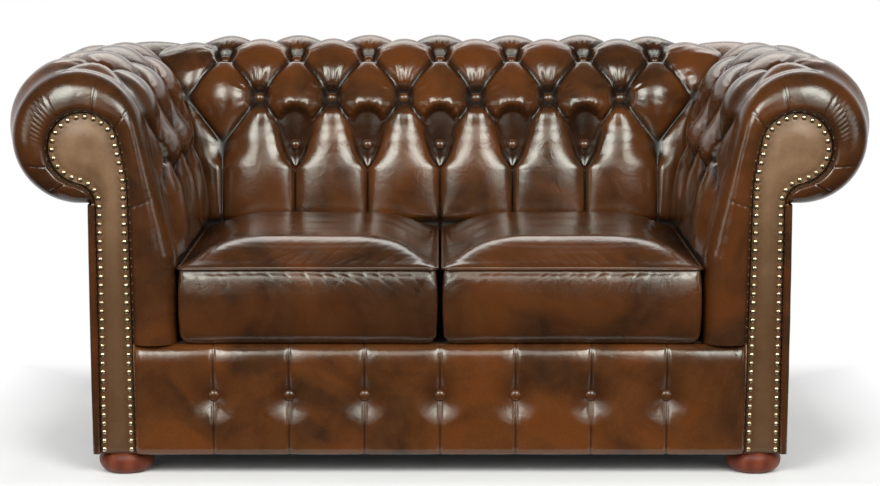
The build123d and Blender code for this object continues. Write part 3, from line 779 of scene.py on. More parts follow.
ringLook = {
    "columns": 34, "start": padFront + 0.020, "depth": 0.0445, "thin": 0.4, "fullWidth": 0.05, "behind": -0.0015,
    "headFrom": 250, "crestBorder": 0.52, "crestHead": 0.80, "crestBy": 70, "pleats": (31, 71, 124, 204, 239),
    "pleatDepth": 0.0022, "pleatWidth": 0.0024, "pleatFrom": (0.12, 0.4), "lowPleat": 0.531, "gather": 0.0005,
    "gatherFrom": 128, "gatherTo": 176, "gatherStep": 0.0115, "gatherSlant": 0.012, "gatherBand": (0.15, 0.35),
    "gatherEnd": (0.72, 0.95), "gatherIn": 0.01, "gatherOut": 0.04, "wrinkle": 0.0005, "wrinkleSize": 0.5 / 9,
    "tuftFade": 0.055, "riseFade": 0.02, "deckGap": 0.0005,
    # painted shade in the ring's pleats and in the valley beside the panel; the whole inside of the arm painted
    # darker
    "wearAndShade": 0.60, "pleatShade": 0.4, "valleyShade": 0.45, "valleyFrom": 0.85, "armShade": 0.68,
}


def panelInner(height):
    # inner edge of the facing panel below its head: a tail that turns in at the shoulder
    shoulderZ = headZ - facing["shoulderDrop"]
    tail = (height - panelLow.z) / (shoulderZ - panelLow.z)
    tail = facing["tailInner"] + (facing["shoulderInner"] - facing["tailInner"]) * tail
    neck = (height - shoulderZ) / (jointZ - shoulderZ)
    neck = facing["shoulderInner"] + (jointDepth - facing["shoulderInner"]) * neck
    return (tail + neck - np.hypot(tail - neck, facing["shoulderSoft"])) / 2


def panelEdge(run):
    # place on the facing panel's outline that lies across the ring from a place on the arm's outline
    depth, height, _, _ = profile(run)
    angle = lean + (run - uprightRun - leanRun) / rollRadius
    headFrom = math.radians(ringLook["headFrom"])
    headAngle = lean + (angle - lean) * (headLast - lean) / (headFrom - lean)
    neckShare = np.clip((angle - headFrom) / (tuckAngle - headFrom), 0, 1)
    lastTurn = math.asin(min(1, (rollZ - rollRadius - neckZ) / facing["neckRound"]))
    neckAngle = neckTurn + (lastTurn - neckTurn) * neckShare
    share = np.clip((height - deckTop) / (rollZ + rollRadius * math.sin(lean) - deckTop), 0, 1)
    lineHeight = deckTop + (jointZ - deckTop) * share
    lineDepth = panelInner(lineHeight)
    onHead = run >= uprightRun + leanRun
    onNeck = angle > headFrom
    deep = np.where(onHead, facing["headShift"] + facing["headRadius"] * np.cos(headAngle), lineDepth)
    high = np.where(onHead, headZ + facing["headRadius"] * np.sin(headAngle), lineHeight)
    deep = np.where(onHead & onNeck, neckDepth + facing["neckRound"] * np.cos(neckAngle), deep)
    high = np.where(onHead & onNeck, neckZ + facing["neckRound"] * np.sin(neckAngle), high)
    return deep, high


def ringPleats(share):
    # thin creases across the ring, each on the nearest row of points
    depth = np.zeros(share.shape)
    reach = smoothStep(*ringLook["pleatFrom"], share)
    places = [runAtAngle(degrees) for degrees in ringLook["pleats"]] + [runAtHeight(ringLook["lowPleat"])]
    for k, place in enumerate(places):
        nearest = coverRuns[np.argmin(np.abs(coverRuns - place))]
        line = np.exp(-((coverRuns - nearest) / ringLook["pleatWidth"]) ** 2)
        depth += (0.7 + 0.3 * math.sin(2.1 * k)) * line[:, None] * reach  # no two of one depth
    return depth


def ringGathers(share):
    # bunch of small folds on the outer half of the head
    run = coverRuns[:, None]
    start, end = runAtAngle(ringLook["gatherFrom"]), runAtAngle(ringLook["gatherTo"])
    inside = smoothStep(start - ringLook["gatherIn"], start + ringLook["gatherIn"], run)
    inside = inside * (1 - smoothStep(end - ringLook["gatherOut"], end, run))
    band = smoothStep(*ringLook["gatherBand"], share) * (1 - smoothStep(*ringLook["gatherEnd"], share))
    return inside * band * np.sin((run + ringLook["gatherSlant"] * share) * 2 * np.pi / ringLook["gatherStep"])


def facingRing(side):
    # padded ring from the facing panel's edge round to the first column of the arm: along, depth, height, wear and
    # painted shade
    first = ringLook["start"]
    turn = np.linspace(np.pi, 0, ringLook["columns"])[None, :-1]
    over = smoothStep(uprightRun + leanRun, runAtAngle(ringLook["crestBy"]), coverRuns)[:, None]
    crest = ringLook["crestBorder"] + (ringLook["crestHead"] - ringLook["crestBorder"]) * over
    inward = np.where(turn < np.pi / 2, crest * (1 - np.cos(turn)), crest - (1 - crest) * np.cos(turn))
    panelDepth, panelHeight = panelEdge(coverRuns)
    plainDepth, plainHeight, _, _ = profile(coverRuns)
    deep = plainDepth[:, None] + (panelDepth - plainDepth)[:, None] * inward
    high = plainHeight[:, None] + (panelHeight - plainHeight)[:, None] * inward
    pleats = ringPleats(inward)
    width = np.hypot(panelDepth - plainDepth, panelHeight - plainHeight)
    full = smoothStep(0, ringLook["fullWidth"], width)[:, None]
    rounded = np.sin(turn)
    bulge = ringLook["depth"] * rounded * (ringLook["thin"] + (1 - ringLook["thin"]) * full)
    bulge = bulge - ringLook["pleatDepth"] * pleats * full + ringLook["gather"] * ringGathers(inward)
    bulge = bulge + ringLook["wrinkle"] * ripple(deep, high, ringLook["wrinkleSize"], 3 + side) * rounded
    valley = np.where(turn > np.pi / 2, 1 - rounded, 0)
    along = first - bulge + (padFront + ringLook["behind"] - first) * valley
    # painted shade in the pleats and in the valley beside the panel
    wearAndShade = ringLook["wearAndShade"] - ringLook["pleatShade"] * pleats
    wearAndShade = wearAndShade - ringLook["valleyShade"] * smoothStep(ringLook["valleyFrom"], 1.0, inward)
    return along, deep, np.maximum(high, deckTop + ringLook["deckGap"]), wearAndShade


def armCover(side):
    ends = seamEnd(cornerY)
    first = ringLook["start"]
    count = round((cornerY - first) / tuftLook["step"])
    along = first + (ends[:, None] - first) * np.linspace(0, 1, count)[None, :]
    run = spread(coverRuns, count)
    amount = cornerAmount(along, cornerY, armField["fade"])
    amount = amount * smoothStep(first, first + ringLook["tuftFade"], along)
    height, wornShaded = coverHeight(along, run, armField, armRows, armSpots, amount, armField["seed"] + side)
    height = height * smoothStep(first, first + ringLook["riseFade"], along)
    edge = cornerEdge(ends[:, None] - along)
    deep, high = raisedOver(run, toSeam(height, edge))
    # painted shade: the inside of the arm darker as a whole, and darker at the corner seam
    crown = ringLook["armShade"] * wornShaded * seamShade(edge)
    along, deep, high, crown = (
        np.hstack(pair) for pair in zip(facingRing(side), (along, deep, high, crown))
    )
    deep, high = tuckUnder(deep, high)
    points = np.stack([side * (rollX - deep), lastTwice(along), high], axis=-1)
    return points.reshape(-1, 3), gridFaces(*deep.shape, flip=side > 0), lastTwice(crown).ravel()


def makeCovers():
    back = meshPiece("backCover", *backCover())
    mergeDoubles(back)
    finishPiece(back, "sofa_body", leather, ["back_cover"])
    for name, side in sides:
        arm = meshPiece(f"{name}ArmCover", *armCover(side))
        mergeDoubles(arm)
        finishPiece(arm, "sofa_body", leather, [f"{name}_arm_cover"])
    print("covers made:", len(back.data.polygons), "faces in the back")


makeCovers()


# Facing panels and their nails

nailLook = {"radius": 0.0054, "rise": 0.0040, "rim": 0.0007, "foot": 1.0, "segments": 10, "rings": 8, "tilt": 4}


def facingRows():
    neckLow = neckZ - facing["neckDrop"]
    tail = np.arange(panelLow.z, neckLow, facing["tailStep"])
    neck = np.linspace(neckLow, headZ, facing["neckRows"])
    head = headZ + facing["headRadius"] * np.sin(np.linspace(0, np.pi / 2, facing["headRows"])[1:])
    return np.concatenate([tail, neck, head])


def facingSpan(height):
    # inner and outer edge of the facing panel at a height, as depths from the roll's centre line
    radius = facing["headRadius"]
    reach = np.sqrt(np.maximum(0, radius ** 2 - (height - headZ) ** 2))
    inner = np.where(height < jointZ, panelInner(height), facing["headShift"] + reach)
    onNeck = np.sqrt(np.maximum(0, facing["neckRound"] ** 2 - (height - neckZ) ** 2))
    neckTop = headZ + radius * math.sin(headLast)
    outer = np.where(height < neckTop, neckDepth + onNeck, facing["headShift"] - reach)
    outer = np.where(height < neckZ, facing["tailOuter"], outer)
    return inner, outer


def distanceTo(depth, height, spots):
    best = np.full(depth.shape, 1.0)
    for spotDepth, spotHeight in spots:
        best = np.minimum(best, np.hypot(depth - spotDepth, height - spotHeight))
    return best


def panelOutline():
    rows = facingRows()
    inner, outer = facingSpan(rows)
    foot = [(d, rows[0]) for d in np.linspace(outer[0], inner[0], facing["footColumns"])]
    return list(zip(inner, rows)) + list(zip(outer, rows)) + foot


def panelStand(away):
    # round edge, a flat strip for the nails, and a padded middle
    radius = facing["edgeRound"]
    rounded = np.sqrt(np.maximum(0, radius ** 2 - np.maximum(0, radius - away) ** 2))
    full = padFront - panelLow.y - radius - facing["dome"]
    return full + rounded + facing["dome"] * smoothStep(*facing["domeReach"], away)


def withEnds(grid, first, last):
    return np.hstack([first + 0 * grid[:, :1], grid, last + 0 * grid[:, -1:]])


def makeFacings(nailSpots):
    rows = facingRows()
    inner, outer = facingSpan(rows)
    share = (1 - np.cos(np.linspace(0, np.pi, facing["columns"]))) / 2
    depth = outer[:, None] + (inner - outer)[:, None] * share[None, :]
    height = spread(rows, len(share))
    away = distanceTo(depth, height, panelOutline())
    dimples = 1 - smoothStep(*facing["dimpleReach"], distanceTo(depth, height, nailSpots))
    stand = withEnds(panelStand(away) - facing["nailDimple"] * dimples, 0, 0)
    depth = withEnds(depth, depth[:, :1], depth[:, -1:])
    height = withEnds(height, height[:, :1], height[:, -1:])
    # painted shade at the edge where the panel dips to the ring, a darker band along the nail row, and painted shade
    # darker towards the bottom
    dark = facing["edgeShade"] * (1 - smoothStep(0, facing["edgeReach"], away))
    dark = dark + facing["nailDark"] * np.exp(-((away - facing["nailLine"]) / facing["nailBand"]) ** 2)
    crown = facing["wearAndShade"] - withEnds(dark, facing["edgeShade"], facing["edgeShade"])
    upper = smoothStep(neckZ - facing["lowShadeFrom"], headZ, height)
    crown = crown * (facing["lowShade"] + (1 - facing["lowShade"]) * upper)
    for name, side in sides:
        points = np.stack([side * (rollX - depth), padFront - stand, height], axis=-1)
        panel = meshPiece(f"{name}FacingPanel", points, gridFaces(*depth.shape, flip=side < 0), crown)
        mergeDoubles(panel)
        finishPiece(panel, "sofa_body", facingLeather, [f"{name}_facing_panel"])


def makeNails():
    model = domeModel(nailLook)
    spots = islands("right_facing_nails")
    depth = np.array([rollX - spot.x for spot in spots])
    away = distanceTo(depth, np.array([spot.z for spot in spots]), panelOutline())
    front = padFront - panelStand(away) + facing["nailDimple"] + facing["nailLift"]
    for name, side in sides:
        places = []
        for k, spot in enumerate(spots):
            tilt = math.radians(90 + nailLook["tilt"] * math.sin(7.7 * k + side))
            place = Matrix.Translation((side * spot.x, front[k], spot.z))
            places.append(place @ Matrix.Rotation(tilt, 4, "X"))
        nails = copiesOf(f"{name}FacingNails", model, places)
        finishPiece(nails, "sofa_body", nailBrass, [f"{name}_facing_nails"])
    print("nails made:", len(spots), "a side")
    return [(rollX - spot.x, spot.z) for spot in spots]


makeFacings(makeNails())


# Covered buttons

buttonLook = {
    "radius": 0.0112, "rise": 0.0062, "rim": 0.003, "foot": 0.86, "segments": 16, "rings": 10, "stand": 0.002,
}
buttonMesh = domeModel(buttonLook)


def facingOut(place, out):
    return Matrix.Translation(place) @ Vector((0, 0, 1)).rotation_difference(Vector(out)).to_matrix().to_4x4()


def buttonPlaces(spots, rows, inFrame):
    # each button's rim lies below the plain padded section, and its dome looks out of it
    places = []
    for along, run in spots:
        depth, height, outDepth, outRise = (float(v) for v in profile(np.array(run)))
        sink = hollowLook["sink"] if run < rows[0] + spotSlip else tuftLook["sink"]
        low = sink - buttonLook["stand"]
        place = inFrame(along, depth - low * outDepth, height - low * outRise)
        places.append(facingOut(place, inFrame(0, outDepth, outRise) - inFrame(0, 0, 0)))
    return places


def makeButtons():
    places = buttonPlaces(backSpots, backRows, lambda along, depth, up: np.array([along, rollY - depth, up]))
    buttons = copiesOf("backButtons", buttonMesh, places)
    finishPiece(buttons, "sofa_body", leather, ["back_buttons"])
    for name, side in sides:
        places = buttonPlaces(
            armSpots, armRows, lambda along, depth, up: np.array([side * (rollX - depth), along, up]),
        )
        buttons = copiesOf(f"{name}ArmButtons", buttonMesh, places)
        finishPiece(buttons, "sofa_body", leather, [f"{name}_arm_buttons"])


makeButtons()


# Front border

border = {
    "stand": 0.0150, "crown": 0.0060, "sink": 0.0135, "pit": 0.050, "pitTall": 1.1, "line": 0.0022,
    "topRound": 0.034, "lowRound": 0.014, "endRound": 0.016, "endThin": 0.55, "step": 0.0034, "moreRows": 6,
    "gap": 0.0006, "flute": 0.6, "fluteSharp": 0.46, "sharpReach": 0.045, "topSoft": 0.3, "topReach": 0.05,
    "slack": 0.0007, "lowTuck": 0.002, "topTuck": 0.010, "tuckRise": 0.001, "buttonSink": 0.001,
    # painted shade in the pits and along the pleat lines
    "wearAndShade": 0.8, "pitShade": 0.4, "lineShade": 0.45, "pitSteep": 1.1, "pitRound": 1.2, "lowShare": 0.5,
    "slackSize": 0.16, "slackSeed": 4.0, "fill": 0.8,
}


def roundEdge(away, reach, share=1):
    near = np.clip(away / reach, 0, 1)
    return np.sqrt(1 - share * (1 - near) ** 2)


def makeBorder():
    spots = islands("border_buttons")
    pitch = (spots[-1].x - spots[0].x) / (len(spots) - 1)
    middleZ = spots[0].z
    reach = rollX - facing["tailInner"] - border["gap"]
    low, high = railBottom, deckTop - border["gap"]
    step = pitch / round(pitch / border["step"])
    first = spots[0].x - step * math.floor((spots[0].x + reach) / step)
    wide = np.concatenate([[-reach], np.arange(first, reach, step), [reach]])
    tall = np.linspace(0, 1, round((high - low) / border["step"]) + border["moreRows"])
    x = spread(wide, len(tall)).T
    z = low + (high - low) * spread(tall, len(wide))
    column = (x - spots[0].x) / pitch
    onButtons = (column > -0.5) & (column < len(spots) - 0.5)
    narrow = border["flute"] - border["fluteSharp"] * smoothStep(0.0, border["sharpReach"], np.abs(z - middleZ))
    narrow = narrow + border["topSoft"] * smoothStep(high - border["topReach"], high, z)
    flutes = np.where(onButtons, pleat(column) ** narrow, 1.0)
    aside = (column - np.clip(np.round(column), 0, len(spots) - 1)) * pitch
    pit = 1 - np.hypot(aside, (z - middleZ) / border["pitTall"]) / border["pit"]
    pit = np.clip(border["pitSteep"] * pit, 0, 1) ** border["pitRound"]
    line = np.exp(-(aside / border["line"]) ** 2)
    rounded = roundEdge(high - z, border["topRound"])
    rounded = rounded * roundEdge(z - low, border["lowRound"], border["lowShare"])
    ends = roundEdge(reach - np.abs(x), border["endRound"])
    rounded = rounded * (border["endThin"] + (1 - border["endThin"]) * ends)
    lift = border["crown"] * flutes - border["sink"] * pit - border["line"] * line * (1 - pit)
    lift = lift + border["slack"] * ripple(x, z, border["slackSize"], border["slackSeed"])
    stand = (border["stand"] + lift) * rounded
    stand = np.vstack([0 * stand[:1] - border["lowTuck"], stand, 0 * stand[-1:] - border["topTuck"]])
    # painted shade: darker in the pits and along the pleat lines
    crown = border["wearAndShade"] - border["pitShade"] * pit - border["lineShade"] * line * (1 - pit)
    x, z, crown = (np.vstack([grid[:1], grid, grid[-1:]]) for grid in (x, z, crown))
    z[0] += border["tuckRise"]
    points = np.stack([x, padFront - stand, z], axis=-1)
    cover = meshPiece("frontBorder", points, gridFaces(*x.shape), crown)
    mergeDoubles(cover)
    finishPiece(cover, "sofa_body", leather, ["front_border"])
    depth = border["stand"] - border["sink"] - border["buttonSink"]
    places = [facingOut((spot.x, padFront - depth, middleZ), (0, -1, 0)) for spot in spots]
    buttons = copiesOf("borderButtons", buttonMesh, places)
    finishPiece(buttons, "sofa_body", leather, ["border_buttons"])
    print("front border made:", len(spots), "buttons")


makeBorder()


# Outside panels of the arms and the back

outside = {
    "bow": 0.0022, "corner": 0.007, "cornerSteps": 8, "rearCorner": 0.005, "rearSteps": 6, "step": 0.012, "rows": 40,
    "slack": 0.0006, "slackSize": 0.3, "slackSeed": 6.0, "wearAndShade": 0.55, "fill": 0.5,
    "frontTuck": 0.002, "rearGap": 0.0005, "lastGap": 0.004,
}


def sweepUp(name, plan, low, high, bow, replaced):
    # upright leather panel on a plan line, a little full in the middle
    plan = np.asarray(plan)
    tall = np.linspace(0, 1, outside["rows"])
    travel = np.concatenate([[0], np.cumsum(np.hypot(*np.diff(plan[:, :2], axis=0).T))])
    share = travel / travel[-1]
    upright = np.sin(np.pi * tall[:, None])
    fullness = bow * np.sqrt(np.sin(np.pi * share[None, :])) * np.sqrt(upright)
    loose = ripple(travel[None, :], tall[:, None], outside["slackSize"], outside["slackSeed"])
    fullness = fullness + outside["slack"] * loose * upright
    x = plan[None, :, 0] + fullness * plan[None, :, 2]
    y = plan[None, :, 1] + fullness * plan[None, :, 3]
    z = low + (high - low) * spread(tall, len(plan))
    panel = meshPiece(name, np.stack([x, y, z], axis=-1), gridFaces(*z.shape), outside["wearAndShade"])
    mergeDoubles(panel)
    finishPiece(panel, "sofa_body", leather, [replaced])


def quarterTurn(x, y, radius, start, steps):
    # plan line round a corner's centre: x, y and outward direction
    plan = []
    for k in range(steps + 1):
        turn = start + math.pi / 2 * k / steps
        out = (math.cos(turn), math.sin(turn))
        plan.append((x + radius * out[0], y + radius * out[1], *out))
    return plan


def sidePlan(low, high):
    # from the facing panel round the front corner and along the side to the rear
    radius = outside["corner"]
    front = rollX - facing["tailOuter"]
    plan = [(front, padFront, -1, 0), (front, low.y + outside["frontTuck"], -1, 0)]
    plan += quarterTurn(high.x - radius, low.y + radius, radius, -math.pi / 2, outside["cornerSteps"])
    steps = np.arange(low.y + radius + outside["step"], high.y - outside["lastGap"], outside["step"])
    return plan + [(high.x, y, 1, 0) for y in (*steps, high.y - outside["rearGap"])]


def rearPlan(low, high):
    radius = outside["rearCorner"]
    steps = np.arange(high.x - radius - outside["step"], low.x + radius, -outside["step"])
    return [
        (high.x, low.y, 1, 0),
        *quarterTurn(high.x - radius, high.y - radius, radius, 0, outside["rearSteps"]),
        *((x, high.y, 0, 1) for x in steps),
        *quarterTurn(low.x + radius, high.y - radius, radius, math.pi / 2, outside["rearSteps"]),
        (low.x, low.y, -1, 0),
    ]


def makeOutsides():
    low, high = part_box("right_outside_arm_panel")
    plan = sidePlan(low, high)
    sweepUp("rightOutsideArm", plan, low.z, high.z, outside["bow"], "right_outside_arm_panel")
    mirrored = [(-x, y, -outX, outY) for x, y, outX, outY in reversed(plan)]
    sweepUp("leftOutsideArm", mirrored, low.z, high.z, outside["bow"], "left_outside_arm_panel")
    low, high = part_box("outside_back_panel")
    sweepUp("outsideBack", rearPlan(low, high), low.z, high.z, 2 * outside["bow"], "outside_back_panel")
    print("outside panels made")


makeOutsides()


# Seat cushions

cushion = {
    "voxel": 0.006, "pressure": 4.0, "frames": 20, "cap": 0.012, "passes": 40, "cuts": 39, "startInset": 0.0035,
    "startCrown": 0.040, "quickCrown": 0.049, "shoulder": (0.62, 0.34), "rearFall": 0.22, "sideDraw": 0.0015,
    "frontBulge": 0.014, "frontShare": 0.3, "tuck": 0.008, "tuckHeight": 0.12, "corner": 0.015, "sideGap": 0.0005,
    "seamInset": 0.0052, "seamSlope": 1.30, "seamRise": 0.0015, "seamSoft": 0.004, "grip": 0.007,
    "gripReach": (0.012, 0.034), "zipGap": 0.001, "zipOver": (0.006, 0.004), "zipSoft": (0.008, 0.005),
    "pucker": 0.0010, "puckerReach": 0.034, "puckerStep": 0.052, "puckerThin": 0.16, "slack": 0.0010,
    # painted shade in the puckers' creases
    "slackSize": 0.21, "wearAndShade": 0.56, "puckerShade": 0.2, "piping": 0.0034, "pipingSides": 8, "pipingInset": 0.0032,
    "pipingWander": 0.0010, "pipingWave": 0.35, "pipingWear": 0.55, "cornerPoints": 9, "sidePoints": 50,
    "fill": 0.75, "seed": 7.0,
}


def readPoints(piece):
    points = np.empty(len(piece.data.vertices) * 3)
    piece.data.vertices.foreach_get("co", points)
    return points.reshape(-1, 3)


def readNormals(piece):
    normals = np.empty(len(piece.data.vertices) * 3)
    piece.data.vertex_normals.foreach_get("vector", normals)
    return normals.reshape(-1, 3)


def writePoints(piece, points):
    piece.data.vertices.foreach_set("co", np.ascontiguousarray(points).ravel())
    piece.data.update()


def cushionForm(low, high, seam, crown):
    # closed crowned block: a cube that is subdivided and shaped
    deselectAll()
    bpy.ops.mesh.primitive_cube_add(size=1)
    block = bpy.context.object
    block.name = "cushionBlock"
    editMode()
    selectAll()
    bpy.ops.mesh.subdivide(number_cuts=cushion["cuts"])
    objectMode()
    place = readPoints(block) * 2
    half = (np.array(high) - np.array(low)) / 2 - cushion["startInset"]
    centre = (np.array(high) + np.array(low)) / 2
    half[2] = (seam - low.z) / 2
    centre[2] = (seam + low.z) / 2
    level = (place[:, 2] + 1) / 2
    tuck = cushion["tuck"] * np.clip(1 - level / cushion["tuckHeight"], 0, 1) ** 2
    draw = cushion["sideDraw"] * (1 - place[:, :2] ** 2)
    x = place[:, 0] * (half[0] - draw[:, 1] - tuck)
    y = place[:, 1] * (half[1] - draw[:, 0] - tuck)
    full = (1 - np.abs(2 * level - 1) ** 2.4) * (1 - 0.5 * place[:, 0] ** 6)  # less at the seams and the ends
    y -= cushion["frontBulge"] * full * np.clip(-place[:, 1], 0, 1) ** 8
    dome = 1 - cushion["rearFall"] * (place[:, 1] + 1) / 2
    for k, reach in enumerate(cushion["shoulder"]):
        dome = dome * (1 - (1 - np.clip((1 - np.abs(place[:, k])) / reach, 0, 1)) ** 2)
    z = place[:, 2] * half[2] + crown * dome * np.clip(place[:, 2], 0, 1) ** 3
    writePoints(block, np.stack([x, y, z], axis=-1) + centre)
    return block


def evenedOut(block, values):
    # averages the values of neighbouring points
    edges = np.empty(len(block.data.edges) * 2, dtype=np.int32)
    block.data.edges.foreach_get("vertices", edges)
    first, second = edges.reshape(-1, 2).T
    count = np.bincount(edges, minlength=len(values))
    for _ in range(cushion["passes"]):
        beside = [
            np.bincount(first, v[second], len(v)) + np.bincount(second, v[first], len(v)) for v in values.T
        ]
        values = (values + (np.array(beside) / count).T) / 2
    return values


def swell(block):
    # pressure from inside, with each point's movement capped, evened out and none of it inward
    before = readPoints(block)
    normals = readNormals(block)
    cloth = block.modifiers.new("swell", "CLOTH")
    cloth.settings.use_pressure = True
    cloth.settings.uniform_pressure_force = cushion["pressure"]
    cloth.settings.effector_weights.gravity = 0
    for k in range(1, cushion["frames"] + 1):
        scene.frame_set(k)
    applyModifiers(block)
    scene.frame_set(1)
    move = readPoints(block) - before
    outward = (move * normals).sum(axis=1)
    move -= np.minimum(outward, 0)[:, None] * normals
    size = np.linalg.norm(move, axis=1)
    move *= (cushion["cap"] * np.tanh(size / cushion["cap"]) / np.maximum(size, 1e-9))[:, None]
    move[:, 1] *= np.where(move[:, 1] < 0, cushion["frontShare"], 1)
    move = evenedOut(block, move)
    writePoints(block, before + move)
    print("cushion swelled by up to", round(float(size.max()) * 1000, 1), "mm")


def seamOutline(points, low, high):
    # distance inside the seam's rounded outline, and the way out of it
    radius = cushion["corner"]
    centre = (np.array(low)[:2] + np.array(high)[:2]) / 2
    half = (np.array(high)[:2] - np.array(low)[:2]) / 2 - radius
    side = np.sign(points[:, :2] - centre)
    past = np.abs(points[:, :2] - centre) - half
    corner = np.maximum(past, 0)
    reach = np.linalg.norm(corner, axis=1)
    inside = radius - reach - np.minimum(past.max(axis=1), 0)
    out = np.where(reach[:, None] > 1e-9, corner / np.maximum(reach, 1e-9)[:, None], 0)
    flat = np.stack([past[:, 0] >= past[:, 1], past[:, 0] < past[:, 1]], axis=-1)
    return inside, np.where(reach[:, None] > 1e-9, out, flat) * side


def zipPlace(points):
    # 1 where the zip's tape lies against the rear wall, fading out round it
    low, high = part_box("right_zip_tape")
    place = 1
    for axis, over, soft in zip((0, 2), cushion["zipOver"], cushion["zipSoft"]):
        inside = np.minimum(points[:, axis] - low[axis], high[axis] - points[:, axis])
        place = place * smoothStep(0, soft, inside + over)
    return place


def settle(block, coverBox, pipeBox, seam):
    # holds the swelled form in its place, draws it in to the piping along its seam, and makes room for the zip
    points = readPoints(block)
    sideX = [pipeBox[0].x + cushion["sideGap"], pipeBox[1].x - cushion["sideGap"]]
    points[:, 0] = np.clip(points[:, 0], *sideX)
    points[:, 1] = np.minimum(points[:, 1], coverBox[1].y)
    points[:, 2] = np.maximum(points[:, 2], coverBox[0].z)
    inside, out = seamOutline(points, *pipeBox)
    grip = np.exp(-((points[:, 2] - seam) / cushion["grip"]) ** 2)
    grip = grip * (1 - smoothStep(*cushion["gripReach"], inside))
    points[:, :2] += out * ((inside - cushion["seamInset"]) * grip)[:, None]
    inside, out = seamOutline(points, *pipeBox)
    slope = seam + cushion["seamRise"] + cushion["seamSlope"] * (inside - cushion["seamInset"])
    capped = (points[:, 2] + slope - np.hypot(points[:, 2] - slope, cushion["seamSoft"])) / 2
    points[:, 2] = np.where(points[:, 2] > seam, capped, points[:, 2])
    behind = points[:, 1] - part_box("right_zip_tape")[0].y + cushion["zipGap"]
    points[:, 1] -= np.where(behind > 0, behind * zipPlace(points), 0)
    writePoints(block, points)


def puckers(points, pipeBox, seam, seed):
    # gathers that run out from the piping, and slack in the top; with it, how far each point lies in a gather, for
    # the painted shade in their creases
    inside, out = seamOutline(points, *pipeBox)
    level = points[:, 2] - seam
    along = points[:, 0] * np.abs(out[:, 1]) + points[:, 1] * np.abs(out[:, 0])
    reach = np.where(level < 0, -level, np.maximum(inside - cushion["seamInset"], 0))
    gather = ripple(along + 1.1 * reach, 0.35 * reach, cushion["puckerStep"], seed)  # they slant as they run out
    gather = np.exp(-(gather / cushion["puckerThin"]) ** 2)
    uneven = 0.35 + 0.65 * smoothStep(-0.3, 0.5, ripple(along, 0 * along, 0.33, seed + 3))
    fall = np.exp(-reach / cushion["puckerReach"]) * smoothStep(0.002, 0.010, reach) * uneven
    top = smoothStep(0.015, 0.09, inside) * smoothStep(0.002, 0.012, level)
    loose = ripple(points[:, 0], points[:, 1] * 1.5, cushion["slackSize"], seed + 5)
    onDeck = smoothStep(0.0, 0.02, points[:, 2] - deckTop)
    return -cushion["pucker"] * gather * fall * onDeck + cushion["slack"] * loose * top, gather * fall


def pipingPath(low, high, seam):
    # seam line round the top of the walls
    radius = cushion["corner"]
    inner = cushion["pipingInset"] + radius
    corners = [
        (high.x - inner, low.y + inner, -math.pi / 2), (high.x - inner, high.y - inner, 0),
        (low.x + inner, high.y - inner, math.pi / 2), (low.x + inner, low.y + inner, math.pi),
    ]
    arcs = []
    for x, y, start in corners:
        turn = start + np.linspace(0, math.pi / 2, cushion["cornerPoints"])
        arcs.append(np.column_stack([x + radius * np.cos(turn), y + radius * np.sin(turn)]))
    path = []
    for k, arc in enumerate(arcs):
        share = np.linspace(0, 1, cushion["sidePoints"])[1:-1, None]
        path += [arc, arc[-1] + (arcs[(k + 1) % 4][0] - arc[-1]) * share]
    path = np.vstack(path)
    wave = ripple(path[:, 0], path[:, 1], cushion["pipingWave"], cushion["seed"] + 1)
    return np.column_stack([path, seam + cushion["pipingWander"] * wave])


def tubeFaces(index):
    # faces between the rings of a tube, whose points are numbered ring by ring
    beside = np.roll(index, -1, axis=1)
    return np.stack([index[:-1], beside[:-1], beside[1:], index[1:]], axis=-1).reshape(-1, 4)


def pipingPiece(name, path):
    radius, count = cushion["piping"], cushion["pipingSides"]
    ahead = np.roll(path, -1, axis=0) - np.roll(path, 1, axis=0)
    ahead /= np.linalg.norm(ahead, axis=1)[:, None]
    across = np.cross(ahead, (0, 0, 1))
    across /= np.linalg.norm(across, axis=1)[:, None]
    upward = np.cross(across, ahead)
    turn = (2 * np.pi * np.arange(count) / count)[None, :, None]
    points = path[:, None] + radius * (np.cos(turn) * across[:, None] + np.sin(turn) * upward[:, None])
    index = np.arange(len(path) * count).reshape(-1, count)
    return meshPiece(name, points, tubeFaces(np.vstack([index, index[:1]])), cushion["pipingWear"])


def makeCushions():
    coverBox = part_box("right_cushion_cover")
    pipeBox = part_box("right_cushion_piping")
    seam = (pipeBox[0].z + pipeBox[1].z) / 2
    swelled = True
    low = Vector((pipeBox[0].x, pipeBox[0].y, coverBox[0].z))
    block = cushionForm(low, pipeBox[1], seam, cushion["startCrown" if swelled else "quickCrown"])
    remesh = block.modifiers.new("even", "REMESH")
    remesh.mode = "VOXEL"
    remesh.voxel_size = cushion["voxel"]
    applyModifiers(block)
    if swelled:
        swell(block)
    subdivision = block.modifiers.new("smooth", "SUBSURF")
    subdivision.levels = 1
    subdivision.render_levels = 1
    applyModifiers(block)
    settle(block, coverBox, pipeBox, seam)
    plain = readPoints(block)
    normals = readNormals(block)
    path = pipingPath(*pipeBox, seam)
    for name, side in sides:
        piece = newObject(f"{name}Cushion", block.data.copy())
        lift, gather = puckers(plain, pipeBox, seam, cushion["seed"] + side)
        writePoints(piece, (plain + normals * lift[:, None]) * (side, 1, 1))
        if side < 0:
            piece.data.flip_normals()
        piece.data.shade_smooth()
        # painted shade: darker in the puckers' creases
        setCrown(piece.data, cushion["wearAndShade"] - cushion["puckerShade"] * gather)
        finishPiece(piece, f"{name}_cushion", leather, [f"{name}_cushion_cover"])
        piping = pipingPiece(f"{name}CushionPiping", path * (side, 1, 1))
        mergeDoubles(piping, outward=True)
        finishPiece(piping, f"{name}_cushion", leather, [f"{name}_cushion_piping"])
    print("cushions made:", len(block.data.polygons), "faces each")
    bpy.data.objects.remove(block)


makeCushions()


# Zips on the rear of the cushions

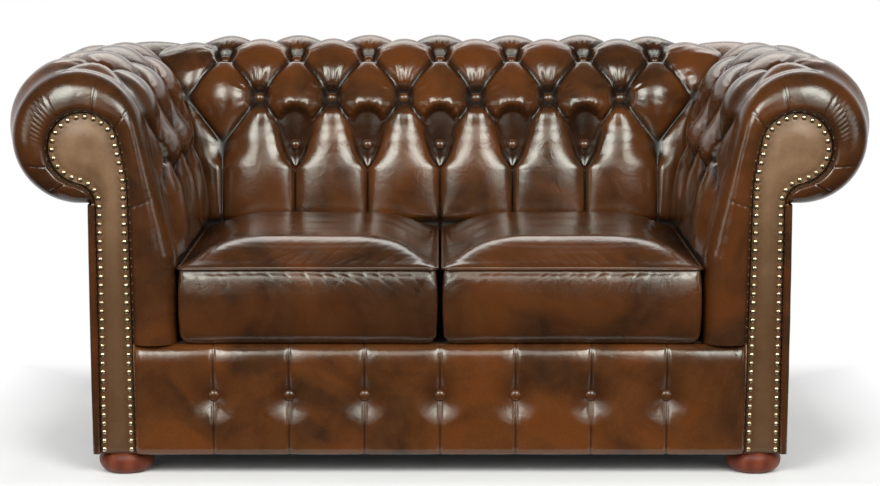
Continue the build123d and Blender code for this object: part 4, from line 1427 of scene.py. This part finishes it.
zipLook = {
    "toothStep": 0.0042, "tooth": (0.0022, 0.0011, 0.0036), "toothBevel": 0.0004, "toothFrom": 0.003,
    "toothEnd": 0.004, "toothStand": 0.0003, "toothLift": 0.0007, "tape": 0.0009, "ridge": 0.0003, "tapeRows": 15,
    "tapeColumns": 90, "tab": (0.0105, 0.0010, 0.0052), "tabFrom": 0.006, "tabGap": 0.0004, "tabRim": 0.0013,
    "taper": 0.72, "bevel": 0.0004, "bridge": ((0.002, -0.0003, -0.0012), (0.008, 0.0018, 0.0012)),
}


def boxAt(low, high):
    # plain box between two corners
    deselectAll()
    low, high = Vector(low), Vector(high)
    bpy.ops.mesh.primitive_cube_add(size=1, location=(low + high) / 2)
    block = bpy.context.object
    bpy.ops.transform.resize(value=high - low)
    bpy.ops.object.transform_apply(location=True, rotation=True, scale=True)
    return block


def bevelAll(block, width):
    makeActive(block)
    editMode()
    selectAll()
    bpy.ops.mesh.bevel(offset=width, segments=1, affect="EDGES")
    objectMode()


def selectFaces(block, wanted):
    makeActive(block)
    editMode()
    bpy.ops.mesh.select_mode(type="FACE")
    bpy.ops.mesh.select_all(action="DESELECT")
    objectMode()
    for face in block.data.polygons:
        face.select = wanted(face)
    editMode()


def sliderModel(low, high):
    # tapered body with a raised bridge, and a pull tab with a slot that lies over the teeth
    body = boxAt(low, high)
    selectFaces(body, lambda face: face.normal.x > 0.9)
    bpy.ops.transform.resize(value=(1, 1, zipLook["taper"]))
    objectMode()
    bevelAll(body, 2 * zipLook["bevel"])
    length, thick, tall = zipLook["tab"]
    middleZ = (low.z + high.z) / 2
    tabLow = (low.x + zipLook["tabFrom"], high.y + zipLook["tabGap"], middleZ - tall / 2)
    tab = boxAt(tabLow, (tabLow[0] + length, tabLow[1] + thick, middleZ + tall / 2))
    selectFaces(tab, lambda face: abs(face.normal.y) > 0.9)
    bpy.ops.mesh.inset(thickness=zipLook["tabRim"], use_individual=True)
    bpy.ops.mesh.bridge_edge_loops()
    objectMode()
    bridge = boxAt(*((low.x + x, high.y + y, middleZ + z) for x, y, z in zipLook["bridge"]))
    bevelAll(bridge, zipLook["bevel"])
    deselectAll()
    for part in (tab, bridge, body):
        part.select_set(True)
    bpy.context.view_layer.objects.active = body
    bpy.ops.object.join()
    return takeMesh(body)


def toothModel():
    half = Vector(zipLook["tooth"]) / 2
    tooth = boxAt(-half, half)
    bevelAll(tooth, zipLook["toothBevel"])
    return takeMesh(tooth)


def zipTape(low, high):
    # two woven halves with a ridge along each edge, closed all round
    count = zipLook["tapeRows"]
    z = np.linspace(low.z, high.z, count)
    ridges = np.cos(np.linspace(-1, 1, count) * 2 * np.pi) * zipLook["ridge"]
    rear = np.column_stack([low.y + zipLook["tape"] + ridges, z])
    section = np.vstack([rear, np.column_stack([np.full(count, low.y), z[::-1]])])
    x = np.linspace(low.x, high.x, zipLook["tapeColumns"])
    y, z = (spread(section[:, k], len(x)).T for k in range(2))
    points = np.stack([spread(x, len(section)), y, z], axis=-1)
    index = np.arange(len(x) * len(section)).reshape(len(x), -1)
    return points.reshape(-1, 3), tubeFaces(index).tolist() + [index[0].tolist(), index[-1, ::-1].tolist()]


def makeZips():
    low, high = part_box("right_zip_tape")
    slider = sliderModel(*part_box("right_zip_slider"))
    tooth = toothModel()
    points, faces = zipTape(low, high)
    count = int((high.x - low.x - zipLook["toothEnd"]) / zipLook["toothStep"])
    toothY = low.y + zipLook["tape"] + zipLook["toothStand"]
    for name, side in sides:
        tape = newObject(f"{name}ZipTape", bpy.data.meshes.new(f"{name}ZipTape"))
        tape.data.from_pydata((points * (side, 1, 1)).tolist(), [], faces)
        mergeDoubles(tape, outward=True)
        finishPiece(tape, f"{name}_cushion", liningCloth, [f"{name}_zip_tape"])
        places = []
        for k in range(count):
            x = low.x + zipLook["toothFrom"] + k * zipLook["toothStep"]
            z = (low.z + high.z) / 2 + zipLook["toothLift"] * (-1) ** k
            places.append(Matrix.Translation((side * x, toothY, z)))
        teeth = copiesOf(f"{name}ZipTeeth", tooth, places)
        finishPiece(teeth, f"{name}_cushion", zipBrass)
        pull = copiesOf(f"{name}ZipSlider", slider, [Matrix.Diagonal((side, 1, 1, 1))])
        mergeDoubles(pull, outward=True)
        finishPiece(pull, f"{name}_zip_slider", zipBrass, [f"{name}_zip_slider"])
    print("zips made:", count, "teeth each")


makeZips()


# Cloth over the seat deck and under the frame

clothLook = {
    "step": 0.010, "edge": 0.05, "wave": 0.24, "deckDrop": 0.0006, "deckSlack": 0.0012, "dustDrop": 0.0004,
    "dustSlack": 0.0012, "footGap": 0.002,
}


def clothGrid(low, high, level, slack, seed):
    x = np.linspace(low.x, high.x, round((high.x - low.x) / clothLook["step"]))
    y = np.linspace(low.y, high.y, round((high.y - low.y) / clothLook["step"]))
    wide, deep = np.meshgrid(x, y)
    inside = np.minimum(np.minimum(wide - low.x, high.x - wide), np.minimum(deep - low.y, high.y - deep))
    free = smoothStep(0, clothLook["edge"], inside)
    z = level - slack * free * (1 + ripple(wide, deep, clothLook["wave"], seed)) / 2
    return np.stack([wide, deep, z], axis=-1)


def makeCloths():
    low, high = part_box("deck_cover")
    points = clothGrid(low, high, high.z - clothLook["deckDrop"], clothLook["deckSlack"], 5.0)
    deck = meshPiece("deckCloth", points, gridFaces(*points.shape[:2]))
    deck.data.shade_smooth()
    finishPiece(deck, "sofa_body", platformCloth, ["deck_cover"])
    low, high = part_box("dust_cover")
    points = clothGrid(low, high, high.z - clothLook["dustDrop"], clothLook["dustSlack"], 6.0)
    faces = gridFaces(*points.shape[:2], flip=True)
    centres = points.reshape(-1, 3)[faces].mean(axis=1)
    keep = np.ones(len(faces), dtype=bool)
    for foot in ("front_left_foot", "front_right_foot", "rear_left_foot", "rear_right_foot"):
        spot = middle(foot)
        radius = (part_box(foot)[1].x - spot.x) - clothLook["footGap"]
        keep &= np.hypot(centres[:, 0] - spot.x, centres[:, 1] - spot.y) > radius
    dust = meshPiece("dustCloth", points, faces[keep])
    work = bmesh.new()
    work.from_mesh(dust.data)
    bmesh.ops.delete(work, geom=[v for v in work.verts if not v.link_faces], context="VERTS")
    cut = sum(face.calc_area() for face in work.faces)
    work.to_mesh(dust.data)
    work.free()
    dust.data.shade_smooth()
    finishPiece(dust, "sofa_body", liningCloth, ["dust_cover"])
    print("deck and dust cloths made")


makeCloths()


# Materials of the CAD nodes that stay

def dressNodes():
    bySlot = {
        "leather": leather, "facing_leather": facingLeather, "foam": foam, "frame_wood": frameWood,
        "foot_wood": footWood, "lining": liningCloth, "steel": springSteel, "nail_brass": nailBrass,
        "zip_metal": zipBrass,
    }
    for subpart in frame["record"]["subparts"]:
        node = frame["nodes"][subpart["node"]]
        node.data.materials.clear()
        node.data.materials.append(bySlot[subpart["material_slot"]])


dressNodes()


# Floor, light and camera

studio = {
    "floorSide": (0.78, 0.98), "floorRear": (0.42, 0.62), "floorFront": (0.46, 0.515),
    "floorTone": (0.93, 0.965, 1.0), "floorGrey": (0.86, 0.9), "floorRough": 0.9, "floorSpecular": 0.1,
    "ambientFront": 0.09, "ambientRear": 0.6, "ambientFrom": (-0.35, 0.6), "mirrorFront": 0.04,
    "mirrorFrom": (0.30, 0.66), "lampColour": (1.0, 0.965, 0.90),
    "pairs": (  # on both sides, given for the right one
        {"name": "Box", "place": (1.9, -3.7, 3.0), "aim": (0.1, 0.0, 0.45), "size": (1.8, 1.7), "power": 130},
        {"name": "Mid", "place": (1.9, -4.1, 1.85), "aim": (0.1, 0.0, 0.45), "size": (1.8, 0.8), "power": 20},
        {"name": "Low", "place": (1.9, -4.2, 1.0), "aim": (0.1, 0.0, 0.45), "size": (1.8, 0.9), "power": 7},
        {"name": "Side", "place": (3.6, -2.3, 1.3), "aim": (0.0, 0.0, 0.4), "size": (1.2, 2.0), "power": 17},
    ),
    "single": (
        {"name": "frontBox", "place": (0.0, -3.9, 3.1), "aim": (0.0, 0.0, 0.45), "size": (2.0, 1.7), "power": 36},
        {"name": "rearBox", "place": (0.0, 2.4, 2.8), "aim": (0.0, 0.2, 0.6), "size": (3.6, 1.2), "power": 34},
    ),
}
view = {"place": (0.0, -4.535, 1.066), "pitch": 8.62, "lens": 92.1, "sensor": 36.0}


def mixShaders(tree, amount, first, second, output):
    mix = tree.nodes.new("ShaderNodeMixShader")
    for k, value in enumerate((amount, first.outputs[0], second.outputs[0])):
        tree.links.new(value, mix.inputs[k])
    tree.links.new(mix.outputs[0], tree.nodes[output].inputs["Surface"])


def makeFloor():
    # pale floor that turns white to the eye towards its edges
    deselectAll()
    bpy.ops.mesh.primitive_plane_add(size=1)
    floor = bpy.context.object
    floor.name = "studioFloor"
    side, rear, front = studio["floorSide"], studio["floorRear"], studio["floorFront"]
    size = Matrix.Diagonal((2 * side[1], rear[1] + front[1], 1, 1))
    floor.data.transform(Matrix.Translation((0, (rear[1] - front[1]) / 2, 0)) @ size)
    material, tree, shader, place = startMaterial("paleFloor")
    parts = addNode(tree, "ShaderNodeSeparateXYZ", Vector=place).outputs
    outer = largest(
        tree, remap(tree, calculate(tree, "ABSOLUTE", parts["X"]), *side, 0, 1),
        remap(tree, parts["Y"], *rear, 0, 1), remap(tree, parts["Y"], -front[0], -front[1], 0, 1),
    )
    grime = remap(tree, addNoise(tree, place, 3, 3), 0.3, 0.7, *studio["floorGrey"])
    tone = addNode(tree, "ShaderNodeCombineColor")
    for k, share in enumerate(studio["floorTone"]):
        tree.links.new(calculate(tree, "MULTIPLY", grime, share), tone.inputs[k])
    giveAll(tree, shader, {
        "Base Color": tone.outputs["Color"], "Roughness": studio["floorRough"],
        "Specular IOR Level": studio["floorSpecular"],
    })
    rays = tree.nodes.new("ShaderNodeLightPath").outputs
    seen = largest(tree, rays["Is Camera Ray"], rays["Is Glossy Ray"], rays["Is Transmission Ray"])
    white = addNode(tree, "ShaderNodeEmission", Strength=1.0)
    mixShaders(tree, calculate(tree, "MULTIPLY", outer, seen), shader, white, "Material Output")
    floor.data.materials.append(material)


def makeWorld():
    world = bpy.data.worlds.new("studioWorld")
    scene.world = world
    world.use_nodes = True
    tree = world.node_tree
    direction = tree.nodes.new("ShaderNodeTexCoord").outputs["Generated"]
    ahead = addNode(tree, "ShaderNodeSeparateXYZ", Vector=direction).outputs["Y"]
    rays = tree.nodes.new("ShaderNodeLightPath").outputs
    lit = remap(tree, ahead, *studio["ambientFrom"], studio["ambientFront"], studio["ambientRear"])
    mirrored = remap(tree, ahead, *studio["mirrorFrom"], studio["mirrorFront"], 1.0)
    level = tree.nodes.new("ShaderNodeMix")
    for k, value in ((0, rays["Is Glossy Ray"]), (2, lit), (3, mirrored)):  # the number sockets of this node
        tree.links.new(value, level.inputs[k])
    ambient = tree.nodes["Background"]
    giveAll(tree, ambient, {"Strength": level.outputs[0], "Color": (1, 1, 1)})
    white = addNode(tree, "ShaderNodeBackground", Strength=1.0, Color=(1, 1, 1))
    seen = largest(tree, rays["Is Camera Ray"], rays["Is Transmission Ray"])
    mixShaders(tree, seen, ambient, white, "World Output")


def makeLamp(name, lamp, side=1):
    data = bpy.data.lights.new(name, "AREA")
    data.shape = "RECTANGLE"
    data.size, data.size_y = lamp["size"]
    data.energy = lamp["power"]
    data.color = studio["lampColour"]
    box = newObject(name, data)
    place, aim = (Vector((side * x, y, z)) for x, y, z in (lamp["place"], lamp["aim"]))
    box.location = place
    box.rotation_euler = (aim - place).to_track_quat("-Z", "Y").to_euler()


def makeLamps():
    for lamp in studio["pairs"]:
        for name, side in reversed(sides):
            makeLamp(name + lamp["name"], lamp, side)
    for lamp in studio["single"]:
        makeLamp(lamp["name"], lamp)


def makeCamera():
    data = bpy.data.cameras.new("photoCamera")
    data.lens = view["lens"]
    data.sensor_width = view["sensor"]
    data.sensor_fit = "HORIZONTAL"
    camera = newObject("photoCamera", data)
    camera.location = view["place"]
    camera.rotation_euler = (math.radians(90 - view["pitch"]), 0, 0)
    scene.camera = camera


makeFloor()
makeWorld()
makeLamps()
makeCamera()
print("studio made")
